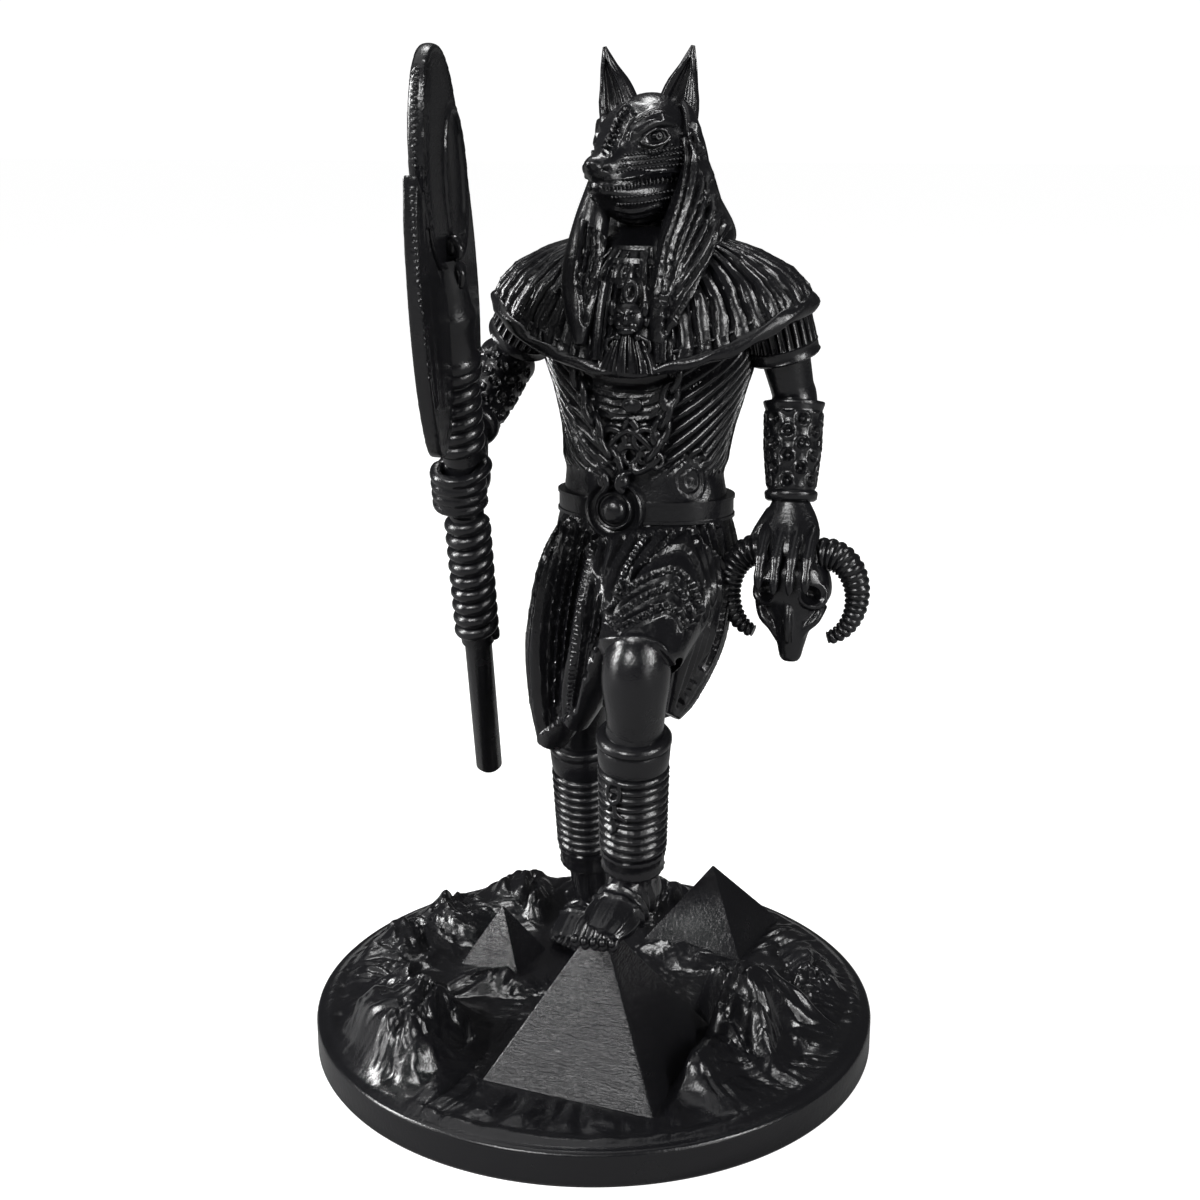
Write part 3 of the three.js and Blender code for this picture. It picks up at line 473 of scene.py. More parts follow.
def cord(points, radius, around=10, step=0.8):
    """A round cord through places."""
    return strand([[*p, radius, radius] for p in points], around, step, across=(1, 0.2, 0.1))


def ball(place, half, turn=(0, 0, 0), segments=16, rings=10):
    """A ball, or an egg with three half sizes."""
    x, y, z = place
    bpy.ops.mesh.primitive_uv_sphere_add(
        segments=max(6, int(segments / FINE)),
        ring_count=max(4, int(rings / FINE)),
        radius=1,
        location=(x * MM, y * MM, (z + SOLE) * MM),
        rotation=turn,
        scale=[h * MM for h in half],
    )
    bpy.ops.object.transform_apply(location=True, rotation=True, scale=True)
    return bpy.context.object


def from_front(angle):
    """How far round from the middle of the front, from -pi to pi, growing to the figure's left."""
    return np.angle(np.exp(1j * (angle + math.pi / 2)))


def pressed(phase):
    """One pressed rib for each whole number: grooves between, thin raised edges, a flat back."""
    side = np.abs(phase % 1 - 0.5) * 2
    return 0.25 - 1.25 * ease(side, 0.7, 1.0) + 0.4 * np.exp(-(((side - 0.56) / 0.13) ** 2))


# The photograph's viewpoint in millimetres, its lens and sensor, and its side in pixels
EYE = np.array([136.1, -413.2, 250.0])
EYE_TURN = Euler((math.radians(74.36), 0, math.radians(18)))
LENS, SENSOR = 49.98, 36
PHOTO = 1200
FOCAL = LENS / SENSOR * PHOTO


def in_photo(points):
    """Where points in millimetres are seen in the photograph, in its pixels."""
    local = (points - EYE) @ np.array(EYE_TURN.to_matrix())
    return np.stack([PHOTO / 2 - FOCAL * local[:, 0] / local[:, 2],
                     PHOTO / 2 + FOCAL * local[:, 1] / local[:, 2]], axis=1)


def stroke_relief(kind, away, along, total, half, height, pitch):
    """How high a stroke raises the skin, this far from its line and this far along it."""
    shown = ease(along, 0, 1.6 * half) * (1 - ease(along, total - 1.6 * half, total))
    side = np.abs(away) / half
    if kind == "line":
        relief = np.exp(-(side**2))
    elif kind == "groove":
        relief = -np.exp(-(side**2))
    elif kind == "beads":
        relief = np.exp(-(side**4)) * np.maximum(0, np.cos(TAU * along / pitch)) ** 0.7
    elif kind == "seam":
        relief = 0.45 * np.exp(-(((side - 1) / 0.38) ** 2)) - np.exp(-((side / 0.6) ** 2))
    else:
        # A ladder: two rails with rungs between them over a sunk floor
        inside = 1 - ease(side, 0.55, 0.85)
        rungs = np.maximum(0, np.cos(TAU * along / pitch)) ** 0.8
        relief = np.exp(-(((side - 1) / 0.3) ** 2)) + inside * (1.15 * rungs - 0.65)
    return height * relief * shown


def strokes(kind, half, height, lines, pitch=0.0):
    """Strokes of one kind, one along each line."""
    return [(kind, half, height, pitch, line) for line in lines]


# How high the carving stands on the side that mirrors the one in the photograph
MIRRORED_SHARE = 0.45


def carve(piece, drawn, mirror=None):
    """Raises or sinks the skin along lines that are traced on the photograph. A stroke is its
    kind, half width in pixels, height in millimetres, the pitch of its beads or rungs in
    pixels, and its points in pixels. With a mirror [point, direction] the other half of the
    piece, turned away from the direction, is carved the same way but lower."""
    mesh = piece.data
    count = len(mesh.vertices)
    place = np.empty(count * 3)
    mesh.vertices.foreach_get("co", place)
    place = place.reshape(-1, 3) / MM
    normal = np.empty(count * 3)
    mesh.vertex_normals.foreach_get("vector", normal)
    normal = normal.reshape(-1, 3)
    seen, facing = place.copy(), normal.copy()
    if mirror:
        point, direction = (np.array(value, float) for value in mirror)
        out = (place - point) @ direction
        turned_over = out < 0
        seen[turned_over] -= 2 * out[turned_over, None] * direction
        facing[turned_over] -= 2 * (facing[turned_over] @ direction)[:, None] * direction
    towards = EYE - seen
    towards /= np.linalg.norm(towards, axis=1)[:, None]
    open_to_view = ease((facing * towards).sum(axis=1), 0.08, 0.36)
    spot = in_photo(seen)
    raised = np.zeros(count)
    for kind, half, height, pitch, points in drawn:
        line = smooth_line(points, 1.0)
        ahead = np.gradient(line, axis=0)
        ahead /= np.linalg.norm(ahead, axis=1)[:, None]
        lengths = distances(line)
        low, high = line.min(axis=0) - 3 * half, line.max(axis=0) + 3 * half
        framed = ((spot > low) & (spot < high)).all(axis=1)
        near = np.flatnonzero((open_to_view > 0) & framed)
        if len(near) == 0:
            continue
        gap = spot[near][:, None].astype(np.float32) - line[None].astype(np.float32)
        nearest = (gap**2).sum(axis=2).argmin(axis=1)
        rest = spot[near] - line[nearest]
        along = lengths[nearest] + (rest * ahead[nearest]).sum(axis=1)
        away = rest[:, 0] * ahead[nearest, 1] - rest[:, 1] * ahead[nearest, 0]
        past_end = (along < 0) | (along > lengths[-1])
        relief = stroke_relief(kind, away, along, lengths[-1], half, height, pitch)
        raised[near] += np.where(past_end | (np.abs(away) > 3 * half), 0, relief)
    if mirror:
        raised[turned_over] *= MIRRORED_SHARE
    place += normal * (raised * open_to_view)[:, None]
    mesh.vertices.foreach_set("co", (place * MM).ravel())
    mesh.update()


# Middle, height, half width and half depth of each level, from the hips to the neck
TRUNK = [
    [11, 12.5, 130, 20, 14],
    [11, 12, 142, 22.6, 14.6],
    [10.6, 12, 152, 21.8, 13.6],
    [11.4, 11.4, 162, 22.4, 14],
    [12, 10.8, 173, 25, 15.4],
    [12, 10, 186, 28.2, 16.4],
    [11.5, 10, 198, 24, 13],
    [11.8, 9.8, 209, 10, 9],
    [12.2, 9, 226, 7.6, 7.6],
]


def trunk_front(x, z, proud):
    """A place on the front of the trunk, where chains and carving lie."""
    rows = np.array(TRUNK, float)
    cx, cy, wide, deep = (np.interp(z, rows[:, 2], rows[:, k]) for k in (0, 1, 3, 4))
    across = min(0.97, abs(x - cx) / wide)
    return [x, cy - deep * math.sqrt(1 - across * across) - proud, z]


def flank_ribs(angle, part, z):
    arc = from_front(angle) * 22
    side = np.abs(arc)
    ribs = np.abs(np.sin(math.pi * (z - 0.52 * side - 0.009 * side**2) / 3.8)) ** 0.8 - 0.5
    shown = ease(side, 8, 11) * (1 - ease(side, 40, 50))
    shown = shown * ease(z, 151, 156) * (1 - ease(z, 184, 188))
    hip = np.hypot(arc - 17, z - 151)
    swirl = 0.3 * np.cos(TAU * hip / 2.4) * (1 - ease(hip, 4, 6.5)) + 0.8 * (1 - ease(hip, 0, 6))
    spine = -1.4 * np.exp(-(((np.abs(from_front(angle)) - math.pi) / 0.16) ** 2)) * ease(z, 140, 150)
    return 2.3 * ribs * shown * ease(hip, 5, 8) + swirl + spine


trunk = shell(TRUNK, 300, 0.55, flank_ribs)
# Wrapped bands over the belly and fine lines on the hips, as they are seen in the photograph,
# in its pixels
BELLY_FIRST = [(590, 381), (606, 386), (622, 389), (648, 389), (661, 385), (672, 379)]
BELLY_SECOND = [(592, 389), (606, 393), (622, 396), (648, 396), (661, 392), (671, 386)]
BELLY_THIRD = [(594, 397), (606, 401), (618, 404), (646, 403), (661, 398), (668, 394)]
BELLY_FOURTH = [(596, 405), (606, 409), (614, 412), (646, 411), (660, 406), (666, 402)]
BELLY_LAST = [(598, 413), (608, 416), (622, 419), (646, 418), (658, 413), (664, 409)]
BELLY_CREASE = [(605, 421), (624, 425), (650, 422)]
HIP_CREASE = [(664, 478), (674, 470), (684, 462), (690, 452)]
HIP_LINE = [(650, 486), (662, 474), (673, 465)]
HIP_CURL = [(688, 455), (698, 449), (704, 456), (702, 466), (694, 472), (688, 464)]
FLANK_CREASE = [(574, 440), (580, 456), (590, 468), (600, 474)]
FLANK_LINE = [(570, 400), (577, 424), (588, 444), (600, 458)]
carve(trunk,
      strokes("line", 2.8, 1.2, [BELLY_FIRST, BELLY_SECOND])
      + strokes("line", 2.6, 1.1, [BELLY_THIRD])
      + strokes("line", 2.4, 1.0, [BELLY_FOURTH])
      + strokes("line", 2.6, 1.1, [BELLY_LAST])
      + strokes("groove", 1.4, 0.8, [BELLY_CREASE])
      + strokes("groove", 1.3, 0.6, [HIP_CREASE])
      + strokes("line", 1.4, 0.5, [HIP_LINE])
      + strokes("line", 1.2, 0.4, [HIP_CURL])
      + strokes("groove", 1.3, 0.5, [FLANK_CREASE])
      + strokes("line", 1.3, 0.5, [FLANK_LINE]))
# A small boss with a curl at each side, high on the breastbone
BOSS_X, BOSS_Z = 12.2, 171.4
BOSS_CURL = ((0.4, 1.6), (1.9, 1.2), (2.2, -0.4), (0.8, -1.8))
carved = [trunk, ball(trunk_front(BOSS_X, BOSS_Z, 0.6), (2.3, 1.6, 2.4), segments=14)]
for hand in (-1, 1):
    curl = [trunk_front(BOSS_X + hand * out, BOSS_Z + up, 1.2) for out, up in BOSS_CURL]
    carved.append(cord(curl, 0.55, 8))


# The cape and its hem
# A short shoulder cape of pressed pleats, drawn over the shoulders, that dips in front and
# behind. A thick rolled hem finishes its edge.

CAPE_PLEATS = 50
CAPE_X, CAPE_Y = 12.8, 10
# Height, half width, half depth and share of the dip, from the neck to the edge and back under it
CAPE = (
    (216, 12, 10.6, 0),
    (213.2, 19.6, 14.4, 0.1),
    (210.4, 28, 18.2, 0.32),
    (206.4, 36.2, 21.6, 0.62),
    (202.2, 40.6, 23.6, 0.86),
    (198.6, 42.4, 24.7, 1),
    (197.4, 42.2, 24.7, 1),
    (198.5, 34, 19, 0.9),
)
CAPE_LEVELS = np.linspace(0, 1, len(CAPE))
HEM_WIDE, HEM_DEEP, HEM_HEIGHT = 42.4, 24.8, 197.4
HEM_STEPS = 96


def cape_dip(angle):
    return -16 * np.sin(angle) ** 2


def cape_pleats(angle, part, z):
    sway = 0.012 * np.sin(5 * angle + 9 * part) + 0.008 * np.sin(17 * angle - 21 * part)
    shown = ease(part, 0.14, 0.24) * (1 - ease(part, 0.8, 0.84))
    nicks = 0.12 * np.cos(TAU * part * 14 + 40 * angle)
    return (1.15 * pressed((angle + sway) * CAPE_PLEATS / TAU) + nicks) * shown


def cape_lift(angle, part):
    return cape_dip(angle) * np.interp(part, CAPE_LEVELS, [row[3] for row in CAPE])


def round_cape(turn, wide, deep):
    return [CAPE_X + wide * math.cos(turn), CAPE_Y + deep * math.sin(turn)]


def hem_twist(angle, length, z):
    return 0.22 * np.cos(3 * angle + 0.5 * length)


cape_stations = [[CAPE_X, CAPE_Y, *row[:3]] for row in CAPE]
carved.append(shell(cape_stations, 600, 1.25, cape_pleats, cape_lift, even=True))
hem = []
# A fine roll runs just inside the hem
roll = []
for i in range(HEM_STEPS + 1):
    turn = i / HEM_STEPS * TAU
    wave = 0.25 * math.sin(9 * turn) + 0.2 * math.sin(23 * turn)
    hem.append([*round_cape(turn, HEM_WIDE + 0.4 * wave, HEM_DEEP),
                HEM_HEIGHT + cape_dip(turn) + wave, 1.5 + 0.7 * math.cos(turn) ** 2, 1.55])
    roll.append([*round_cape(turn, HEM_WIDE - 1.5, HEM_DEEP - 0.9),
                 HEM_HEIGHT + 3.2 + 0.965 * cape_dip(turn), 0.55, 0.7])
carved.append(strand(hem, 16, 1.4, hem_twist, across=(0, 0, 1)))
carved.append(strand(roll, 8, 1.6, across=(0, 0, 1)))


# The neck bands and the pendant
# Flat bands lie round the throat over the cape. A mask medallion hangs from them on a
# loop between two straps, with a pleated fan of ribbon below it.

NECK_X, NECK_Y = 12, 8.5


def neck_band(low, high, wide_low, wide_high, relief=None):
    profile = ((low, wide_low - 1), (low, wide_low), (high, wide_high), (high, wide_high - 1))
    return shell([[NECK_X, NECK_Y, z, wide, wide] for z, wide in profile], 120, 0.5, relief,
                 even=True)


def chevrons(angle, part, z):
    arc = from_front(angle) * 16
    shown = ease(part, 0.2, 0.4) * (1 - ease(part, 0.6, 0.8))
    return 0.35 * np.cos(TAU * (np.abs(arc % 6 - 3) - 0.8 * (z - 205)) / 2) * shown


carved.append(neck_band(201.4, 204, 18.6, 18.4))
carved.append(neck_band(203.8, 207.6, 17.2, 15.6, chevrons))
carved.append(neck_band(207.4, 208.6, 16, 15.6))
carved.append(neck_band(208.4, 211.2, 13.8, 13.2))
carved.append(neck_band(210.6, 211.6, 13.9, 13.7))


def loop(place, normal, radius, wire, stretch=1.0, along=(0, 0, 1), detail=(20, 8)):
    """A ring of wire that faces the normal, drawn out along one direction."""
    out = Vector(normal).normalized()
    up = Vector(along) - out * out.dot(Vector(along))
    up.normalize()
    side = up.cross(out)
    turn = Matrix((side, up, out)).transposed()
    bpy.ops.mesh.primitive_torus_add(
        major_segments=max(10, int(detail[0] / FINE)),
        minor_segments=max(5, int(detail[1] / FINE)),
        major_radius=radius * MM,
        minor_radius=wire * MM,
    )
    made = bpy.context.object
    made.scale = (1, stretch, 1)
    bpy.ops.object.transform_apply(location=False, rotation=False, scale=True)
    x, y, z = place
    made.matrix_world = Matrix.Translation(Vector((x, y, z + SOLE)) * MM) @ turn.to_4x4()
    bpy.ops.object.transform_apply(location=True, rotation=True, scale=True)
    return made


PENDANT_X = 14.1
MASK = Vector((PENDANT_X, -14.6, 194.4))
carved.append(loop((14.2, -13.4, 200.9), (0.1, -1, 0.1), 1.5, 0.75, 1.6))
carved.append(cord([(14.2, -12, 203.4), (14.2, -13.6, 203.2)], 1.0))
# Place from the mask's middle and half sizes of each of its forms
mask_parts = [
    (0, 0, 0, 4.0, 2.8, 4.3),
    (0, -2.0, -2.6, 2.3, 1.5, 1.3),
    (0, -2.7, 0.0, 0.8, 0.9, 1.5),
]
for hand in (-1, 1):
    mask_parts += [
        (hand * 1.7, -2.0, -1.4, 1.3, 1.1, 1.2),
        (hand * 1.8, -2.5, 1.1, 0.75, 0.5, 0.6),
        (hand * 4.2, -0.2, 2.6, 1.1, 0.8, 2.0),
        (hand * 4.6, 0.2, -0.6, 1.0, 0.9, 1.4),
        (hand * 2.6, -0.8, -4.2, 1.0, 0.9, 1.1),
    ]
for x, y, z, wide, deep, high in mask_parts:
    carved.append(ball(MASK + Vector((x, y, z)), (wide, deep, high), segments=14, rings=10))


def mask_cord(hand, points, radius, around=6):
    """A thin cord on the mask, from its middle: outwards to one hand, backwards and up."""
    places = [MASK + Vector((hand * out, back, up)) for out, back, up in points]
    return cord(places, radius, around, 0.5)


def strap_threads(angle, length, z):
    return 0.22 * np.cos(6 * angle) + 0.12 * np.cos(length * 3)


def fan_pleats(angle, length, z):
    return 0.75 * pressed(angle * 16 / TAU)


MASK_BROW = ((0.4, -2.9, 1.5), (1.8, -2.7, 2.2), (3.2, -1.8, 2.0))
MASK_LIP = ((0.5, -2.9, -2.4), (1.4, -2.8, -2.2), (2.2, -2.2, -2.8))
RIBBON_CURL = ((3.4, -0.4, -4.4), (5.4, -0.6, -5.4), (5.6, -0.6, -7.6), (4.2, -0.6, -7.6),
               (4.4, -0.6, -6.4))
# Outwards, place in depth, height and half sizes of the straps, from the neck bands to the hem
STRAP = ((7.2, -10.6, 203, 1.6, 0.8), (7.6, -12.6, 197, 1.6, 0.9), (7.9, -14.2, 190, 1.5, 0.9),
         (8.2, -15, 184, 1.3, 0.8))
FAN = ((14, -13.0, 191.4, 2.2, 1.9), (14, -14.0, 187.6, 4.6, 2.0), (14.2, -14.8, 183.6, 7.0, 1.9),
       (14.2, -15.0, 181.2, 7.9, 1.7))
for hand in (-1, 1):
    carved.append(mask_cord(hand, MASK_BROW, 0.42))
    carved.append(mask_cord(hand, MASK_LIP, 0.3))
    strap = [[PENDANT_X + hand * out, *rest] for out, *rest in STRAP]
    carved.append(strand(strap, 24, 0.6, strap_threads))
    carved.append(mask_cord(hand, RIBBON_CURL, 0.6, 8))
carved.append(strand(FAN, 120, 0.6, fan_pleats))


# The chains
# Two chains of long wire links hang from the hem and meet over the buckle, with a knotted
# garland of rings and scrolls between them. The links lie in turn flat and on edge.

CHAINS = (
    ((-1.2, 185.4), (-2.8, 179.6), (-1.4, 173.4), (1.4, 167), (4.4, 161), (7, 156.6), (8.4, 154)),
    ((23.4, 186.6), (24, 181), (22.6, 175), (21, 169.4), (19.2, 163.6), (16.6, 158.4), (13, 154.8)),
)
LINKS = 7
for run in CHAINS:
    stops = [[*trunk_front(x, z, 3.2 if i == 0 else 2.4), 1] for i, (x, z) in enumerate(run)]
    path = run_through(stops, 0.3)
    length = distances(path[:, :3])
    for i in range(LINKS):
        here = (i + 0.5) / LINKS * length[-1]
        centre = [np.interp(here, length, path[:, k]) for k in range(3)]
        ahead = Vector([np.interp(here + 0.5, length, path[:, k]) - centre[k] for k in range(3)])
        outward = Vector((centre[0] - 12, centre[1] - 12, 0)).normalized()
        normal = (outward if i % 2 == 0 else ahead.cross(outward)).normalized()
        tilt = outward * 0.35 if i % 2 else ahead.cross(outward).normalized() * 0.3
        carved.append(loop(centre, normal + tilt, 1.8, 0.95, 1.7, ahead, (20, 9)))
    # The ring through the hem
    through_hem = trunk_front(run[0][0], run[0][1] + 2, 4.0)
    carved.append(loop(through_hem, (0.2, -1, 0.2), 2.6, 0.95, 0.9, detail=(22, 9)))
GARLAND = (
    ((2.6, 161), (5, 164.4), (8.4, 164.6), (10, 162), (8.4, 160), (6.4, 161)),
    ((20.4, 161.4), (18, 165), (14.4, 165), (12.6, 162.2), (14, 160), (16, 161)),
    ((4.4, 158.6), (8, 162.8), (11.6, 164.8), (15, 162.6), (18.6, 158.8)),
    ((6.4, 156), (9, 159.6), (11.6, 160.6), (14.4, 159.4), (17, 156)),
    ((2.8, 157.6), (5.4, 155.6), (7.6, 153.6)),
    ((19.2, 158), (17, 155.4), (14, 153.8)),
    ((11.4, 167.6), (10.2, 165.6), (11.8, 163.8), (13.2, 165.6), (12, 167.4)),
)
# Place and radius of each ring, and place of each bead, that are knotted in
GARLAND_RINGS = ((4.6, 156.8, 1.7), (18.2, 156.8, 1.7), (8.2, 157.6, 1.5), (15, 157.8, 1.5),
                 (11.6, 158, 2.0))
GARLAND_BEADS = ((11.6, 162.4), (6.8, 162.6), (16.6, 162.8), (11.6, 155.6))
for order, run in enumerate(GARLAND):
    layer = order % 3
    scroll = [trunk_front(x, z, 1.6 + 0.4 * layer) for x, z in run]
    carved.append(cord(scroll, 1.1 - 0.08 * layer, 10, 0.5))
for x, z, radius in GARLAND_RINGS:
    outward = (0.1 * (x - 11), -1, 0.15)
    carved.append(loop(trunk_front(x, z, 1.7), outward, radius, 0.75, 1.1, detail=(18, 8)))
for x, z in GARLAND_BEADS:
    carved.append(ball(trunk_front(x, z, 1.7), (1.15, 0.9, 1.15), segments=10, rings=8))


# The belt and its buckle
# A flat belt with raised edges. Its round buckle is turned in steps: an outer ring, a
# crescent, an inner ring and a dome, hung from two hooks.

def turned(profile, place, axis, around=48):
    """A form turned on the lathe: [radius, height] from the middle of its back to its front."""
    around = max(12, int(around / FINE))
    up = Vector(axis).normalized()
    side = up.orthogonal().normalized()
    other = up.cross(side)
    rings = []
    for radius, height in profile:
        ring = []
        for i in range(around):
            turn = i / around * TAU
            point = Vector(place) + up * height
            point += (side * math.cos(turn) + other * math.sin(turn)) * max(radius, 0.01)
            ring.append(point[:])
        rings.append(ring)
    return skin(rings)


BUCKLE = (7.6, -4.2, 143.4)
BUCKLE_FACE = (-0.1, -1, 0.05)
# Radius and height over the belt, from the back round the rings to the top of the dome
BUCKLE_PROFILE = ((0, -3), (8.0, -3), (8.3, 1), (8.1, 1.7), (7.7, 2.0), (7.3, 1.7), (7.1, 1.0),
                  (6.9, 0.6), (5.8, 0.3), (5.3, 0.8), (5.1, 1.7), (4.8, 2.0), (4.4, 1.8),
                  (4.2, 1.1), (3.7, 1.0), (3.6, 1.9), (3.2, 2.9), (2.4, 3.5), (1.3, 3.9), (0, 4.0))
BELT_WIDE, BELT_DEEP = 24.2, 16.3
# Lower and upper edge of the belt and of its two raised rims, and how far each stands out
BELT_BANDS = ((140, 145.6, 0), (139.9, 140.7, 0.35), (144.9, 145.7, 0.35))
for low, high, more in BELT_BANDS:
    carved.append(shell([[11, 12, z, BELT_WIDE + more, BELT_DEEP + more] for z in (low, high)],
                        110, 3, even=True))
carved.append(turned(BUCKLE_PROFILE, BUCKLE, BUCKLE_FACE, 60))
for hand in (-1, 1):
    carved.append(ball((BUCKLE[0] + hand * 2.5, -6.2, 151.4), (1.9, 1.9, 2.2), segments=16, rings=12))
    hook = [(BUCKLE[0] + hand * 3.8, -5.0, 153.6), (BUCKLE[0] + hand * 2.2, -7.4, 153.4),
            (BUCKLE[0] + hand * 1.4, -7.6, 150.6), (BUCKLE[0] + hand * 2.6, -6.6, 148.8)]
    carved.append(cord(hook, 0.9, 10, 0.5))


# The kilt
# A wrapped kilt of pressed pleats, modelled in one with the cloth that is drawn over the raised
# thigh. Bands stitched like ladders arch over the knee, and tails fall at the sides.

TOWARDS_PHOTO = math.radians(18)


def turned_away(front):
    """1 on the sides that the photograph doesn't show, 0 on those that it shows."""
    return 1 - ease(np.cos(front - TOWARDS_PHOTO), 0.25, 0.55)


def wrap_pleats(angle, part, z):
    shown = turned_away(from_front(angle)) * ease(141 - z, 0, 5)
    return pressed(angle * 34 / TAU + 0.012 * z) * shown


def fall_pleats(count):
    """Pressed pleats down the hidden side of a fall of cloth."""
    def relief(angle, length, z):
        return 1.3 * pressed(angle * count / TAU) * turned_away(from_front(-angle))
    return relief


def soften(parts, voxel, passes):
    """Forms modelled in clay: melted into one and smoothed."""
    bpy.ops.object.select_all(action="DESELECT")
    for part in parts:
        part.select_set(True)
    bpy.context.view_layer.objects.active = parts[0]
    bpy.ops.object.join()
    body = bpy.context.object
    body.select_set(False)
    use_modifier(body, "REMESH", mode="VOXEL", voxel_size=voxel * FINE * MM)
    use_modifier(body, "SMOOTH", factor=0.5, iterations=passes)
    return body


def spread(first, last, count):
    """Lines spaced evenly from one guide line over to another."""
    ends = []
    for guide in (first, last):
        line = smooth_line(guide, 1.0)
        length = distances(line)
        at = np.linspace(0, length[-1], 9)
        ends.append(np.stack([np.interp(at, length, line[:, k]) for k in (0, 1)], axis=1))
    return [(ends[0] * (1 - t) + ends[1] * t).tolist() for t in np.linspace(0, 1, count)]


def wrap_edge(angle, part):
    """The lower edge rises and falls as it goes round."""
    return ease(part, 0.9, 0.97) * 4 * np.sin(angle * 2)


kilt = soften([
    shell(
        [[10.8, 12, 141.6, 23.4, 15.4], [11.0, 12.3, 134, 24.8, 17], [11.2, 12.6, 126, 25.8, 18.4],
         [7.8, 13.4, 108, 25.6, 20], [5.6, 14.0, 97, 23.4, 19.6], [4.4, 14.6, 88, 20, 18.6],
         [4.4, 15, 89.6, 14, 13]],
        260, 0.9, wrap_pleats, wrap_edge),
    # Over the thigh to the knee, and the cloth that slopes down to it from the belt
    strand([[20, 0, 125, 17.4, 13.8], [21.2, -9, 122.6, 15.6, 13], [22, -16, 120, 13.8, 12],
            [22.6, -27, 115.6, 11.7, 10.2], [22.6, -32.0, 113.6, 10.9, 8.6],
            [22.6, -31.8, 113.4, 9.4, 7.2]], 90, 0.9),
    strand([[14, -3, 135, 15, 5], [18, -13, 129.4, 13.4, 5.4], [21, -23, 123.4, 10.4, 5.4],
            [22.6, -29.6, 118.6, 8, 4.2]], 60, 0.9),
    strand([[31, 1, 124, 6.5, 15], [30.4, -3, 110, 5.6, 15], [27.6, -8.4, 97, 3.6, 10],
            [25.6, -12, 90.5, 1.6, 4]], 130, 0.8, fall_pleats(16)),
    strand([[9, -7, 132, 8, 6], [7.4, -11.4, 120, 8, 7.4], [4.4, -10.4, 106, 7.6, 8],
            [-0.6, -6, 93, 6.4, 7], [-4, -3.4, 83, 4, 5]], 80, 0.9),
    strand([[0.4, 5.6, 141, 7.6, 4.2], [-4.8, 1.6, 127, 9.8, 6.8], [-8.2, 0.2, 112, 9.8, 7.4],
            [-9.6, -0.4, 98, 9.4, 7.2], [-10.8, -0.6, 82, 6.4, 5.6], [-12.6, -0.8, 73.6, 3, 3]],
           130, 0.8, fall_pleats(15)),
], 0.42, 2)
# Guide lines as they are seen in the photograph, in its pixels
FALL_OUTER = [(560, 517), (546, 570), (537, 630), (537, 695), (542, 736)]
FALL_INNER = [(605, 536), (593, 592), (583, 655), (571, 715)]
SWEEP_LOW = [(625, 534), (604, 577), (596, 626), (582, 682)]
SWEEP_HIGH = [(686, 527), (654, 553), (621, 590), (608, 611)]
ARCH_TOP = [(600, 626), (617, 602), (636, 586), (658, 576), (677, 573), (690, 588), (701, 618)]
ARCH_LOW = [(613, 633), (641, 620), (656, 612), (669, 609), (681, 618), (687, 635)]
ARCH_UPPER = [(616, 588), (643, 564), (662, 553), (681, 548), (694, 560), (704, 590)]
KNEE_HEM = [(593, 644), (602, 640), (641, 639), (658, 644), (670, 657), (675, 669)]
SIDE_INNER = [(688, 523), (707, 568), (706, 622), (689, 678), (679, 711)]
SIDE_OUTER = [(718, 525), (727, 585), (723, 618), (715, 650), (702, 672)]
fall = spread(FALL_OUTER, FALL_INNER, 13)
sweep = spread(SWEEP_LOW, SWEEP_HIGH, 9)
arches = spread(ARCH_TOP, ARCH_LOW, 5)
side_folds = spread(SIDE_INNER, SIDE_OUTER, 7)
carve(kilt,
      strokes("groove", 3.0, 1.7, fall[::2])
      + strokes("line", 1.9, 1.0, fall[1::2])
      + strokes("ladder", 2.6, 0.45, fall[5:6] + fall[9:10], 4.4)
      + strokes("groove", 2.8, 1.4, sweep[::2])
      + strokes("line", 1.9, 1.0, sweep[1::4])
      + strokes("ladder", 2.8, 0.55, sweep[3::4], 4.4)
      + strokes("ladder", 4.2, 0.95, arches[::2], 5.6)
      + strokes("groove", 1.8, 1.2, arches[1::2])
      + strokes("seam", 3.0, 1.1, [ARCH_UPPER])
      + strokes("line", 2.4, 1.0, [KNEE_HEM])
      + strokes("groove", 2.8, 1.4, side_folds[::2])
      + strokes("line", 1.6, 0.7, side_folds[1::2]))
carved.append(kilt)


# The legs, greaves and sandals
# Each leg is bare at the knee. A greave of stacked hoops between two plain cuffs covers the
# shin, and the foot stands in a sandal with narrow straps.

GREAVE_HOOPS = 10


